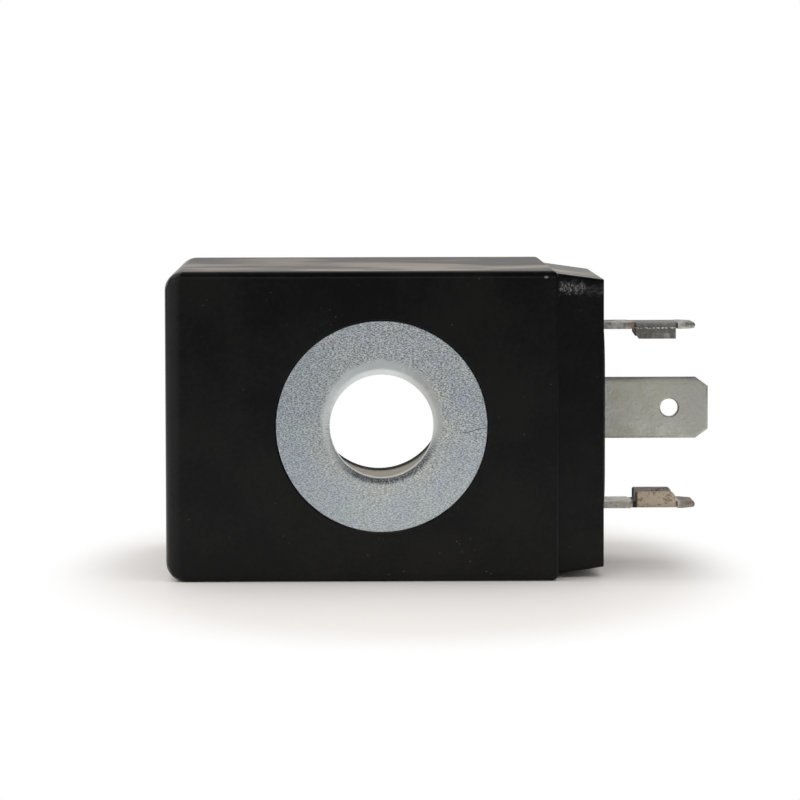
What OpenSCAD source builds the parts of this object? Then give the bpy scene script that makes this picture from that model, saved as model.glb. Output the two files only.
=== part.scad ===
// Encapsulated solenoid valve coil with a three-blade plug base.
// The coil lies on its flat side: the bore runs along Y, the blades point to +X, and +Z is up.
// The origin is on the bore axis, in the seat face at the bottom of the rear recess.

/* [Moulded body] */
// Height of the body between its two flat sides
body_height = 30.2; // [29:0.1:36]
// Depth of the body from its front face to its rear face
body_depth = 40.5; // [36:0.1:50]
// Bore axis to the rounded end
body_left = 21; // [19.5:0.1:26]
// Bore axis to the shoulder that carries the plug base
body_right = 17.1; // [16.3:0.1:20]
// Radius of the long edges at the rounded end
end_radius = 1.9; // [0.5:0.1:3]
// Radius of the upright edges at the rounded end
upright_radius = 1.6; // [0.5:0.1:3]
// Radius of the edges at the shoulder
shoulder_radius = 0.6; // [0.2:0.1:1]
// Bevel along the front and rear edges of the flat sides
edge_bevel = 0.45; // [0.1:0.05:0.6]

/* [Stem bore] */
// Diameter of the bore for the valve stem
stem_bore = 13.2; // [10.5:0.1:14]
// Diameter of the rear recess around the valve bonnet
recess_diameter = 23; // [18:0.5:24]

/* [Front flux ring] */
// Outer diameter of the ring
ring_diameter = 20.6; // [16:0.1:23]
// Hole of the ring, for the threaded end of the stem
ring_hole = 10.1; // [8:0.1:10.4]
// Thickness of the ring
ring_thickness = 2.4; // [2:0.1:3]
// Reach of the rolled edge around the hole, over the ring's face
ring_roll_width = 0.65; // [0.4:0.05:1.2]
// Depth of the rolled edge at the hole
ring_roll_depth = 0.12; // [0.08:0.02:0.4]
// How far the ring lies below the moulded face
ring_sink = 0.1; // [0.05:0.05:0.4]

/* [Yoke frame] */
// Thickness of the steel strip
yoke_thickness = 3.5; // [2.8:0.1:4]
// Width of the steel strip
yoke_width = 25; // [24.5:0.1:27]
// Bore axis to the free ends of the two arms
yoke_end = 13.4; // [13:0.1:14]
// Moulding over the back of the frame at the rounded end
end_skin = 1.6; // [1:0.1:2.5]
// Inner radius of the two bends
yoke_bend = 0.8; // [0.4:0.1:1.5]

/* [Bobbin and winding] */
// Length of the bobbin, between the yoke arms
bobbin_length = 22.6; // [20:0.1:26]
// Wall of the bobbin tube
bobbin_wall = 1; // [0.7:0.1:1.4]
// Diameter of the bobbin flanges
flange_diameter = 25.2; // [24:0.1:25.6]
// Thickness of the bobbin flanges
flange_thickness = 1.2; // [1:0.1:1.6]
// Outer diameter of the wire pack
winding_diameter = 23; // [20:0.1:23.6]
// Thickness of the tape around the wire pack
tape_thickness = 0.3; // [0.1:0.05:0.4]
// Width of the slots in the front flange that let the leads out
lead_slot = 1.3; // [1:0.1:2]

/* [Plug base] */
// Seat face to the middle of the plug base
plug_depth = 14.4; // [14:0.1:15]
// Side of the square end face
plug_size = 28.2; // [27:0.1:29]
// Side of the square root, at the shoulder
plug_root = 29.5; // [29:0.1:30]
// Shoulder to the end face
plug_length = 4.65; // [4:0.05:8]
// Bevel around the end face
plug_bevel = 0.25; // [0.1:0.05:0.5]
// Side of the raised gasket land
land_size = 20; // [19.5:0.1:24]
// Height of the gasket land
land_height = 0.35; // [0.3:0.05:1]
// Corner radius of the gasket land
land_radius = 5; // [2:0.5:6]
// Side of the square plate that anchors the base in the body
plate_size = 26; // [25:0.1:27]

/* [Power blades] */
// Width of the blades, the earth blade included
blade_width = 6.3; // [6:0.1:6.6]
// Distance between the middles of the two blades
power_pitch = 18; // [17.6:0.1:18.4]
// Sheet that the power blades are folded from
power_sheet = 0.65; // [0.5:0.05:0.8]
// Gasket land to the tips
power_reach = 9.5; // [8.5:0.1:12]
// Gasket land to the folded sides
channel_start = 3.5; // [1:0.1:4]
// Length of the folded sides
channel_length = 4; // [2:0.1:4.2]
// Height of the folded sides, sheet included
channel_height = 1.63; // [1.2:0.01:2.2]
// Relief gap at the inner end of the folded sides
inner_relief = 0.5; // [0.2:0.05:0.6]
// Relief gap at the outer end of the folded sides
outer_relief = 0.2; // [0.1:0.05:0.6]
// Corner cut off the folded sides, along the blade
channel_cut_along = 0.3; // [0.2:0.05:0.8]
// Corner cut off the folded sides, across the blade
channel_cut_across = 0.45; // [0.2:0.05:0.9]
// Width of the tags that the leads are soldered to
tag_width = 2; // [1.5:0.1:2.2]
// Length of those tags
tag_length = 3.6; // [3:0.1:4]

/* [Earth blade] */
// Sheet that the earth blade is cut from
earth_sheet = 0.8; // [0.7:0.05:0.9]
// Middle of the plug base to the middle of the earth blade
earth_offset = 9; // [8.8:0.1:9.2]
// Gasket land to the tip
earth_reach = 11.7; // [10:0.1:14]
// Hole that the receptacle's dimple snaps into
earth_hole = 1.8; // [1.4:0.1:2.2]
// Tip to the middle of that hole
earth_hole_to_tip = 4; // [3.5:0.1:5]
// Tip corner cut along the blade
tip_cut_along = 1.3; // [0.5:0.1:1.6]
// Tip corner cut across the blade
tip_cut_across = 0.95; // [0.4:0.05:1.5]
// Width of the coined bevel along the edges
coin_width = 0.35; // [0.1:0.05:0.6]
// Depth of the coined bevel
coin_depth = 0.2; // [0.05:0.05:0.3]

/* [Earth rivet] */
// Shank diameter
rivet_shank = 1.6; // [1.2:0.1:2]
// Head diameter
rivet_head = 2.6; // [2.2:0.1:3]
// Head height
rivet_head_height = 0.6; // [0.4:0.05:0.8]
// Length of the shank in the yoke arm
rivet_grip = 3; // [2:0.1:4]

/* [Plug screw insert] */
// Outer diameter of the insert
insert_diameter = 5; // [4.5:0.1:6]
// Length of the insert
insert_length = 6; // [4:0.1:6.4]
// Hole of the insert, at the crests of an M3 thread
insert_hole = 2.5; // [2:0.1:3.3]

/* [Leads] */
// Diameter of the winding wire where it leaves the pack
wire_end = 0.4; // [0.2:0.05:0.5]
// Diameter of the stranded leads that the wire ends are twisted into
lead_diameter = 0.6; // [0.55:0.05:0.8]
// Wall of the insulating sleeves
sleeve_wall = 0.3; // [0.2:0.05:0.4]
// Lead left bare at each end of a sleeve
sleeve_inset = 0.6; // [0.2:0.1:2]
// Diameter of the solder on a tag
solder_diameter = 2.6; // [2.4:0.1:3]
// Length of the solder, along the lead
solder_length = 3; // [2.6:0.1:4]

/* [Fits] */
// Gap between the moulding and what it holds
mould_gap = 0.03; // [0.01:0.01:0.1]
// Gap between a blade, rivet or insert and its hole
slot_gap = 0.03; // [0.01:0.01:0.1]
// Gap between neighbours in the winding
wind_gap = 0.03; // [0.01:0.01:0.08]
// Room around the solder and the sleeves inside the body
chamber_room = 0.3; // [0.2:0.05:0.6]
// Room between the rivet head and the plug base
rivet_room = 0.2; // [0.1:0.05:0.4]

/* [Hidden] */
$fn = 96;
// How far a cutting shape runs past the face that it opens
past = 1;

// Places along the bore, from the seat forwards
rear_arm_back = 0;
rear_arm_front = rear_arm_back - yoke_thickness;
front_arm_back = rear_arm_front - bobbin_length;
front_arm_front = front_arm_back - yoke_thickness;
ring_front = front_arm_front - ring_thickness;
body_front = ring_front - ring_sink;
body_back = body_front + body_depth;
body_top = body_height / 2;

// Places of the plug base and the blades
plug_y = rear_arm_back - plug_depth;
plug_face = body_right + plug_length;
land_face = plug_face + land_height;
plate_back = yoke_end + earth_sheet + rivet_head_height + rivet_room;
power_z = power_pitch / 2;
power_tip = land_face + power_reach;
tag_in = plate_back - tag_length;
channel_in = land_face + channel_start;
channel_out = channel_in + channel_length;
earth_y = plug_y + earth_offset;
earth_tip = land_face + earth_reach;
rivet_y = rear_arm_back - yoke_thickness / 2;

// The rolled edge is an arc that leaves the ring's face level
ring_roll_radius = (ring_roll_width ^ 2 + ring_roll_depth ^ 2) / (2 * ring_roll_depth);

// Yoke and bobbin
yoke_left = -body_left + end_skin;
tube_diameter = stem_bore + 2 * bobbin_wall;
pack_front = front_arm_back + flange_thickness;
pack_back = rear_arm_front - flange_thickness;
tape_diameter = winding_diameter + 2 * wind_gap + 2 * tape_thickness;

// Leads: a wire end leaves the pack through the flange slot and joins a lead that runs to the tag
sleeve_diameter = lead_diameter + 2 * wind_gap + 2 * sleeve_wall;
lead_x = tag_in - wind_gap - lead_diameter / 2;
lead_out = norm([lead_x, power_z]);
lead_angle = atan2(power_z, lead_x);
wire_y = pack_front - wind_gap - wire_end / 2;
start_in = tube_diameter / 2 + wire_end;
finish_in = winding_diameter / 2 - wire_end;
chamber_left = flange_diameter / 2 * cos(lead_angle) - chamber_room;
chamber_top = power_z + max(sleeve_diameter, solder_diameter) / 2 + chamber_room;

// A box between two corners
module box(low, high) {
    translate(low) cube(high - low);
}

// A round bar along the bore axis
module bore_bar(diameter, from, to) {
    translate([0, from, 0]) rotate([-90, 0, 0]) cylinder(d = diameter, h = to - from);
}

// A round bar along X, at a given Y and on the middle height
module plug_bar(diameter, y, from, to) {
    translate([from, y, 0]) rotate([0, 90, 0]) cylinder(d = diameter, h = to - from);
}

// An outline in X and Z, drawn out along Y
module draw_along_y(from, to) {
    translate([0, to, 0]) rotate([90, 0, 0]) linear_extrude(to - from) children();
}

// An outline in Y and Z, drawn out along X
module draw_along_x(from, to) {
    translate([from, 0, 0]) rotate([90, 0, 90]) linear_extrude(to - from) children();
}

// An outline in X and Y, drawn out along Z
module draw_along_z(from, to) {
    translate([0, 0, from]) linear_extrude(to - from) children();
}

// A rectangle whose two left corners and two right corners have their own radius
module rounded_outline(low, high, left_r, right_r) {
    left = low.x + left_r;
    right = high.x - right_r;
    height = high.y - low.y;
    translate([left, low.y]) square([right - left, height]);
    translate([low.x, low.y + left_r]) square([right - low.x, height - 2 * left_r]);
    translate([left, low.y + right_r]) square([high.x - left, height - 2 * right_r]);
    for (v = [low.y + left_r, high.y - left_r]) translate([left, v]) circle(left_r);
    for (v = [low.y + right_r, high.y - right_r]) translate([right, v]) circle(right_r);
}

// A rectangle with all four corners cut off
module bevelled_outline(low, high, cut) {
    polygon([
        [low.x + cut, low.y],
        [high.x - cut, low.y],
        [high.x, low.y + cut],
        [high.x, high.y - cut],
        [high.x - cut, high.y],
        [low.x + cut, high.y],
        [low.x, high.y - cut],
        [low.x, low.y + cut]
    ]);
}

// The outside of the body: its end view, plan and side view put together
module body_block() {
    intersection() {
        draw_along_y(body_front - past, body_back + past) rounded_outline(
            [-body_left, -body_top],
            [body_right, body_top],
            end_radius,
            shoulder_radius
        );
        draw_along_z(-body_top - past, body_top + past) rounded_outline(
            [-body_left, body_front],
            [body_right, body_back],
            upright_radius,
            shoulder_radius
        );
        draw_along_x(-body_left - past, body_right + past)
            bevelled_outline([body_front, -body_top], [body_back, body_top], edge_bevel);
    }
}

// The bent strip of the yoke in plan, made larger by a gap where it leaves its bed in the moulding
module yoke_outline(gap) {
    difference() {
        rounded_outline(
            [yoke_left - gap, front_arm_front - gap],
            [yoke_end + gap, rear_arm_back + gap],
            yoke_bend + yoke_thickness + gap,
            shoulder_radius
        );
        rounded_outline(
            [yoke_left + yoke_thickness + gap, front_arm_back + gap],
            [yoke_end + past, rear_arm_front - gap],
            yoke_bend,
            shoulder_radius
        );
    }
}

// Room inside the body for the tags, the solder, the leads and the foot of the earth blade
module lead_chamber() {
    half_foot = blade_width / 2 + chamber_room;
    foot_front = earth_y - earth_sheet / 2 - chamber_room;
    box([chamber_left, front_arm_back, -chamber_top], [plate_back, rear_arm_front, chamber_top]);
    box([yoke_end, foot_front, -half_foot], [plate_back, rear_arm_back, half_foot]);
}

// The plate that anchors the plug base, made larger by a gap where it leaves its bed in the moulding
module anchor_plate(gap) {
    half = plate_size / 2 + gap;
    box([plate_back, plug_y - half, -half], [body_right + past, plug_y + half, half]);
}

// The black moulding around the coil
module moulded_body() {
    color("#1b1b1c") difference() {
        body_block();
        bore_bar(ring_diameter + 2 * mould_gap, body_front - past, front_arm_front);
        draw_along_z(-yoke_width / 2 - mould_gap, yoke_width / 2 + mould_gap) yoke_outline(mould_gap);
        bore_bar(flange_diameter + 2 * mould_gap, front_arm_back - past, rear_arm_front + past);
        bore_bar(recess_diameter, rear_arm_back - past, body_back + past);
        lead_chamber();
        anchor_plate(mould_gap);
    }
}

// One view of the tapered plug block: the root, the drafted sides and the bevelled end
module plug_outline() {
    half_root = plug_root / 2;
    half_end = plug_size / 2;
    bevel_start = half_end + (half_root - half_end) * plug_bevel / plug_length;
    polygon([
        [body_right, -half_root],
        [plug_face - plug_bevel, -bevel_start],
        [plug_face, -half_end + plug_bevel],
        [plug_face, half_end - plug_bevel],
        [plug_face - plug_bevel, bevel_start],
        [body_right, half_root]
    ]);
}

// The slot for one power blade
module power_slot(side) {
    half_width = blade_width / 2 + slot_gap;
    half_sheet = power_sheet / 2 + slot_gap;
    translate([0, plug_y, side * power_z])
        box([plate_back - past, -half_width, -half_sheet], [land_face + past, half_width, half_sheet]);
}

// The slot for the earth blade
module earth_slot() {
    half_width = blade_width / 2 + slot_gap;
    half_sheet = earth_sheet / 2 + slot_gap;
    translate([0, earth_y, 0])
        box([plate_back - past, -half_sheet, -half_width], [land_face + past, half_sheet, half_width]);
}

// The moulded block that holds the blades, with its anchor plate and gasket land
module plug_base() {
    half_land = land_size / 2;
    color("#18181a") difference() {
        union() {
            translate([0, plug_y, 0]) intersection() {
                draw_along_y(-plug_root / 2 - past, plug_root / 2 + past) plug_outline();
                draw_along_z(-plug_root / 2 - past, plug_root / 2 + past) plug_outline();
            }
            anchor_plate(0);
            draw_along_x(plug_face - past, land_face) rounded_outline(
                [plug_y - half_land, -half_land],
                [plug_y + half_land, half_land],
                land_radius,
                land_radius
            );
        }
        for (side = [-1, 1]) power_slot(side);
        earth_slot();
        plug_bar(insert_diameter + 2 * slot_gap, plug_y, land_face - insert_length, land_face + past);
    }
}

// The zinc-plated ring in the front face, with the rolled edge of its punched hole
module front_flux_ring() {
    hole = ring_hole / 2;
    rim = ring_diameter / 2;
    color("#b4b9bd") translate([0, ring_front, 0]) rotate([-90, 0, 0]) rotate_extrude() difference() {
        translate([hole, 0]) square([rim - hole, ring_thickness]);
        difference() {
            translate([hole - past, -past]) square([ring_roll_width + past, ring_roll_depth + past]);
            translate([hole + ring_roll_width, ring_roll_radius]) circle(ring_roll_radius);
        }
    }
}

// The bent steel strip that carries the flux round the outside of the winding
module yoke_frame() {
    color("#3a3a3b") difference() {
        draw_along_z(-yoke_width / 2, yoke_width / 2) yoke_outline(0);
        bore_bar(stem_bore, front_arm_front - past, rear_arm_back + past);
        plug_bar(rivet_shank + 2 * slot_gap, rivet_y, yoke_end - rivet_grip, yoke_end + past);
    }
}

// The slots that let the two leads out of the front flange
module lead_slots() {
    half = lead_slot / 2;
    for (side = [-1, 1]) rotate([0, -side * lead_angle, 0])
        box([tube_diameter / 2, front_arm_back - past, -half], [flange_diameter, pack_front, half]);
}

// The spool that the wire is wound on
module bobbin() {
    color("#b9a98c") difference() {
        union() {
            bore_bar(tube_diameter, front_arm_back, rear_arm_front);
            bore_bar(flange_diameter, front_arm_back, pack_front);
            bore_bar(flange_diameter, pack_back, rear_arm_front);
        }
        bore_bar(stem_bore, front_arm_back - past, rear_arm_front + past);
        lead_slots();
    }
}

// The pack of enamelled wire
module winding() {
    color("#a4562b") difference() {
        bore_bar(winding_diameter, pack_front + wind_gap, pack_back - wind_gap);
        bore_bar(tube_diameter + 2 * wind_gap, pack_front - past, pack_back + past);
    }
}

// The tape wrapped round the wire pack
module winding_tape() {
    color("#d9b63a") difference() {
        bore_bar(tape_diameter, pack_front + wind_gap, pack_back - wind_gap);
        bore_bar(winding_diameter + 2 * wind_gap, pack_front - past, pack_back + past);
    }
}

// A power blade in plan: the tag, the blade with its relief gaps, and the cut tip
module power_outline() {
    edge = blade_width / 2;
    fold = edge - power_sheet;
    tag = tag_width / 2;
    half = [
        [tag_in, tag],
        [plate_back, tag],
        [plate_back, edge],
        [channel_in - inner_relief, edge],
        [channel_in - inner_relief, fold],
        [channel_out + outer_relief, fold],
        [channel_out + outer_relief, edge],
        [power_tip - tip_cut_across, edge],
        [power_tip, edge - tip_cut_across]
    ];
    last = len(half) - 1;
    polygon(concat(half, [for (i = [last : -1 : 0]) [half[i].x, -half[i].y]]));
}

// The folded middle of a power blade, across: a flat back and two sides turned inwards
module channel_section() {
    edge = blade_width / 2;
    back = power_z + power_sheet / 2;
    inside = back - power_sheet;
    bend = edge - power_sheet;
    translate([-bend, inside]) square([2 * bend, power_sheet]);
    for (side = [-1, 1]) {
        translate([side * (edge - power_sheet / 2) - power_sheet / 2, back - channel_height])
            square([power_sheet, channel_height - power_sheet]);
        intersection() {
            translate([side * bend, inside]) circle(power_sheet);
            translate([side * (edge - power_sheet / 2) - power_sheet / 2, inside]) square(power_sheet);
        }
    }
}

// The corner cut off the folded sides, at their inner end for way -1 and their outer end for way 1
module channel_corner(way) {
    low = power_z + power_sheet / 2 - channel_height;
    end = way < 0 ? channel_in : channel_out;
    draw_along_y(-blade_width, blade_width) polygon([
        [end + way * past, low + channel_cut_across],
        [end, low + channel_cut_across],
        [end - way * channel_cut_along, low],
        [end - way * channel_cut_along, low - past],
        [end + way * past, low - past]
    ]);
}

// A power blade: side 1 lies above the middle of the plug base, and side -1 below it, folded upwards
module power_blade(side) {
    color("#9c9a93") mirror([0, 0, side < 0 ? 1 : 0]) translate([0, plug_y, 0]) {
        draw_along_z(power_z - power_sheet / 2, power_z + power_sheet / 2) power_outline();
        difference() {
            draw_along_x(channel_in, channel_out) channel_section();
            channel_corner(-side);
        }
    }
}

module upper_power_blade() {
    power_blade(1);
}

module lower_power_blade() {
    power_blade(-1);
}

// The earth blade from the yoke arm to the tip, seen flat
module earth_outline() {
    edge = blade_width / 2;
    polygon([
        [yoke_end, -edge],
        [earth_tip - tip_cut_along, -edge],
        [earth_tip, -edge + tip_cut_across],
        [earth_tip, edge - tip_cut_across],
        [earth_tip - tip_cut_along, edge],
        [yoke_end, edge]
    ]);
}

// The earth blade across, with its coined edges
module earth_section() {
    edge = blade_width / 2;
    face = earth_sheet / 2;
    polygon([
        [-face, -edge + coin_width],
        [-face + coin_depth, -edge],
        [face - coin_depth, -edge],
        [face, -edge + coin_width],
        [face, edge - coin_width],
        [face - coin_depth, edge],
        [-face + coin_depth, edge],
        [-face, edge - coin_width]
    ]);
}

// The earth blade, with the foot that is riveted to the yoke arm
module earth_blade() {
    edge = blade_width / 2;
    face = earth_sheet / 2;
    color("#a3a49c") difference() {
        union() {
            translate([0, earth_y, 0]) intersection() {
                draw_along_y(-face - past, face + past) earth_outline();
                draw_along_x(yoke_end - past, earth_tip + past) earth_section();
            }
            box([yoke_end, earth_y - face, -edge], [yoke_end + earth_sheet, rear_arm_back, edge]);
        }
        translate([earth_tip - earth_hole_to_tip, 0, 0])
            bore_bar(earth_hole, earth_y - face - past, earth_y + face + past);
        plug_bar(rivet_shank + 2 * slot_gap, rivet_y, yoke_end - past, yoke_end + earth_sheet + past);
    }
}

// The rivet that ties the earth blade to the yoke
module earth_rivet() {
    head_seat = yoke_end + earth_sheet;
    color("#8f8f8c") {
        plug_bar(rivet_shank, rivet_y, yoke_end - rivet_grip, head_seat + rivet_head_height);
        plug_bar(rivet_head, rivet_y, head_seat, head_seat + rivet_head_height);
    }
}

// The brass insert for the screw that holds the plug
module plug_screw_insert() {
    color("#b8923f") difference() {
        plug_bar(insert_diameter, plug_y, land_face - insert_length, land_face);
        plug_bar(insert_hole, plug_y, land_face - insert_length - past, land_face + past);
    }
}

// A lead beside the end of its tag, with the wire end that comes out of the flange slot
module lead(side, from) {
    color("#b0622f") {
        rotate([0, -side * lead_angle, 0]) plug_bar(wire_end, wire_y, from, lead_out);
        translate([lead_x, 0, side * power_z])
            bore_bar(lead_diameter, wire_y - lead_diameter / 2, plug_y + solder_length / 2);
    }
}

module start_lead() {
    lead(1, start_in);
}

module finish_lead() {
    lead(-1, finish_in);
}

// The sleeve on a lead, between the wire end and the solder
module lead_sleeve(side) {
    from = wire_y + lead_diameter / 2 + sleeve_inset;
    to = plug_y - solder_length / 2 - sleeve_inset;
    color("#dcdad2") translate([lead_x, 0, side * power_z]) difference() {
        bore_bar(sleeve_diameter, from, to);
        bore_bar(lead_diameter + 2 * wind_gap, from - past, to + past);
    }
}

module start_lead_sleeve() {
    lead_sleeve(1);
}

module finish_lead_sleeve() {
    lead_sleeve(-1);
}

// The solder that joins a lead to its tag
module solder_joint(side) {
    half_tag = tag_width / 2 + wind_gap;
    half_sheet = power_sheet / 2 + wind_gap;
    from = plug_y - solder_length / 2;
    to = plug_y + solder_length / 2;
    color("#a9adb0") translate([0, 0, side * power_z]) difference() {
        translate([tag_in, 0, 0]) bore_bar(solder_diameter, from, to);
        translate([lead_x, 0, 0]) bore_bar(lead_diameter + 2 * wind_gap, from - past, to + past);
        translate([0, plug_y, 0])
            box([tag_in - wind_gap, -half_tag, -half_sheet], [plate_back, half_tag, half_sheet]);
    }
}

module start_solder_joint() {
    solder_joint(1);
}

module finish_solder_joint() {
    solder_joint(-1);
}

moulded_body();
plug_base();
front_flux_ring();
yoke_frame();
bobbin();
winding();
winding_tape();
upper_power_blade();
lower_power_blade();
earth_blade();
earth_rivet();
plug_screw_insert();
start_lead();
finish_lead();
start_lead_sleeve();
finish_lead_sleeve();
start_solder_joint();
finish_solder_joint();
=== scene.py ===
# %% [markdown]
# # A solenoid valve coil, piece by piece
# The coil is a wire pack on a spool, held in a bent steel yoke and moulded over with black compound.
# A zinc-plated ring shows in its front face, and three flat blades leave the plug base at one end.
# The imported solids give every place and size, in metres. Pieces that show get a finer mesh here,
# and the pieces sealed inside keep their solids and get a finish of their own.

# %% Load the solids
import math

import bmesh
import bpy
from mathutils import Euler, Matrix, Vector


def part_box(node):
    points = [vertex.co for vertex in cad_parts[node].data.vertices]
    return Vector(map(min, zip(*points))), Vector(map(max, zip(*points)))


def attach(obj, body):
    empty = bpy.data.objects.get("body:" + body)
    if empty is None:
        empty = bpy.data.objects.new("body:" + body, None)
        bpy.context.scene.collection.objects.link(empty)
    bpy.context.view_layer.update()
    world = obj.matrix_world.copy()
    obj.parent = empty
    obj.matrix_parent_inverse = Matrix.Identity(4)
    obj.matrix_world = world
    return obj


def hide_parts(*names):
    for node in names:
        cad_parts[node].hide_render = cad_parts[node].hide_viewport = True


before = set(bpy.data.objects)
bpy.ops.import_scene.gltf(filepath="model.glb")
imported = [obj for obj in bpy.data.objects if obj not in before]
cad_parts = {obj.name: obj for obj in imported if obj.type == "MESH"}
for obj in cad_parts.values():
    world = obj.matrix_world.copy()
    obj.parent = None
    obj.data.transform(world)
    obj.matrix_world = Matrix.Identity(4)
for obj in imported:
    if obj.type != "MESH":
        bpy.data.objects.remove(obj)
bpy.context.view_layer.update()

MM = 0.001
print("solids:", ", ".join(sorted(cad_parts)))

# %% [markdown]
# ## The camera
# The portrait is taken from straight ahead and a few degrees above, with a long lens, so that the
# sides of the block stay almost parallel. The place and the three angles put the block's corners,
# the ring and the blade tips where the picture has them.

# %% Place the camera
CAMERA_PLACE = Vector((-3.758, -456.333, 30.685)) * MM
CAMERA_LENS = 197.67
CAMERA_SENSOR = 36
CAMERA_NEAR = 0.01
CAMERA_FAR = 20
LOOK_DOWN = 3.788
LOOK_RIGHT = 0.747
CAMERA_ROLL = -0.129


def put_in_scene(thing):
    bpy.context.scene.collection.objects.link(thing)


camera_data = bpy.data.cameras.new("portrait_camera")
camera_data.lens = CAMERA_LENS
camera_data.sensor_width = CAMERA_SENSOR
camera_data.clip_start = CAMERA_NEAR
camera_data.clip_end = CAMERA_FAR
camera = bpy.data.objects.new("portrait_camera", camera_data)
camera_aim = Euler((math.radians(90 - LOOK_DOWN), 0, math.radians(-LOOK_RIGHT))).to_matrix()
camera_tilt = Matrix.Rotation(math.radians(CAMERA_ROLL), 3, "Z")
camera.matrix_world = Matrix.Translation(CAMERA_PLACE) @ (camera_aim @ camera_tilt).to_4x4()
put_in_scene(camera)
bpy.context.scene.camera = camera
bpy.context.scene.view_settings.view_transform = "Standard"
print("camera at", [round(value / MM, 1) for value in camera.location], "mm")

# %% [markdown]
# ## Finishes as sums
# A finish is a few noises added, multiplied and mixed. Written as nodes that is long to read, so one
# small class wraps a socket: plus, minus and times between wires and numbers add the Math nodes,
# and one method adds any other node. Each finish below is then a few lines of sums.


# %% A wire that can be added and multiplied
class Wire:
    """A socket of a shader tree, for use in sums."""

    def __init__(self, tree, socket=None):
        self.tree = tree
        self.socket = socket

    def add(self, kind, settings=(), inputs=(), output=0):
        """Adds a node, makes its settings, fills or links its inputs and returns one output."""
        node = self.tree.nodes.new("ShaderNode" + kind)
        for name, value in dict(settings).items():
            setattr(node, name, value)
        for name, value in dict(inputs).items():
            if isinstance(value, Wire):
                self.tree.links.new(value.socket, node.inputs[name])
            else:
                node.inputs[name].default_value = value
        return Wire(self.tree, node.outputs[output] if node.outputs else None)

    def maths(self, operation, *values):
        return self.add("Math", {"operation": operation}, enumerate(values))

    def __add__(self, other):
        return self.maths("ADD", self, other)

    def __radd__(self, other):
        return self.maths("ADD", other, self)

    def __sub__(self, other):
        return self.maths("SUBTRACT", self, other)

    def __rsub__(self, other):
        return self.maths("SUBTRACT", other, self)

    def __mul__(self, other):
        return self.maths("MULTIPLY", self, other)

    def __rmul__(self, other):
        return self.maths("MULTIPLY", other, self)


# %% [markdown]
# ## The words of a finish
# Every finish here is written in a few words. A noise scatters, a step turns a value into a mask with
# a soft border, a blend lays one colour over another by such a mask, and a bump turns a height into
# a rough surface. Sizes are given in metres on the object, so that a noise means the same everywhere.


# %% Noises, steps and mixes
def grey(level):
    return (level, level, level, 1)


def step(value, low, high):
    """0 up to low, 1 from high on, and a soft step between them."""
    settings = {"interpolation_type": "SMOOTHSTEP"}
    return value.add("MapRange", settings, {"Value": value, "From Min": low, "From Max": high})


def between(value, low, high, soft):
    """1 between two limits, with soft borders."""
    return step(value, low - soft, low) * (1 - step(value, high, high + soft))


def blend(share, first, second):
    """One colour at share 0 and the other at share 1."""
    return share.add("Mix", {"data_type": "RGBA"}, {0: share, 6: first, 7: second}, output=2)


def noise(place, size, detail=2, stretch=(1, 1, 1)):
    """A soft noise with spots of about that size in metres."""
    scale = [1 / (size * times) for times in stretch]
    spot = place.add("Mapping", inputs={"Vector": place, "Scale": scale})
    return place.add("TexNoise", inputs={"Vector": spot, "Scale": 1, "Detail": detail})


def axes(place):
    """The three coordinates of a place as wires."""
    split = place.add("SeparateXYZ", inputs={"Vector": place})
    return [Wire(place.tree, output) for output in split.socket.node.outputs]


def bump(height, depth):
    return height.add("Bump", inputs={"Strength": 1, "Distance": depth, "Height": height})


def empty_tree(owner):
    """Clears the nodes of a material or a world and returns a wire to build on."""
    owner.use_nodes = True
    owner.node_tree.nodes.clear()
    return Wire(owner.node_tree)


def finish(name, build):
    """A material whose Principled sockets are what build returns for the object's coordinates."""
    material = bpy.data.materials.new(name)
    start = empty_tree(material)
    place = start.add("TexCoord", output="Object")
    surface = start.add("BsdfPrincipled", inputs=build(place))
    start.add("OutputMaterial", inputs={"Surface": surface})
    print("finish:", name, "with", len(material.node_tree.nodes), "nodes")
    return material


# %% [markdown]
# ## Black moulding compound
# The block and the plug base are moulded in a near-black thermoset. It is satin, with a fine grain and
# a faint cloudiness, and handling has left a little pale dust in it. A thin brownish film lies in streaks
# on the top. It hardly shows from above but shines at a low angle, so it is a tinted coat over a very
# dark brown. A pale highlight is painted along the front edges of the top, and one small pale spot is
# painted high on the block's front. A flat colour would look like a hole in the picture, so cloud, grain,
# dust and film each get their own noise.

# %% Black of the block
body_low, body_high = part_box("moulded_body")
FILM_REAR = 8 * MM
# Width of the painted highlight along the top's front edge.
EDGE_HIGHLIGHT_WIDTH = 0.8 * MM
FRONT_FADE = 1 * MM
BODY_FRONT_SIDE = -30 * MM
PALE_SPOT = Vector((15.95, 0, 14.45)) * MM
PALE_SPOT_CORE = 0.14 * MM
PALE_SPOT_HALO = 0.24 * MM
PALE_SPOT_FLATNESS = 3
DEEP_BLACK = (0.0005, 0.0005, 0.0006, 1)
CLOUDED_BLACK = (0.0042, 0.0038, 0.0036, 1)
FILM_BROWN = (0.036, 0.028, 0.018, 1)
FILM_TINT = (1, 0.7, 0.4, 1)


def specks(place, spacing, radius):
    """1 inside tiny dots, where the nearest of many scattered points is close to the surface."""
    spot = place.add("Mapping", inputs={"Vector": place, "Scale": [1 / spacing] * 3})
    away = place.add("TexVoronoi", inputs={"Vector": spot, "Scale": 1}, output="Distance")
    return 1 - step(away, 0.4 * radius / spacing, radius / spacing)


def looking_up(place, low=0.9, high=0.99):
    """1 on what looks up, and 0 on what is steeper."""
    return step(axes(place.add("NewGeometry", output="Normal"))[2], low, high)


def nearer_than(y, limit):
    """1 on what lies in front of a limit, with a soft border behind it."""
    return 1 - step(y, limit, limit + FRONT_FADE)


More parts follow.
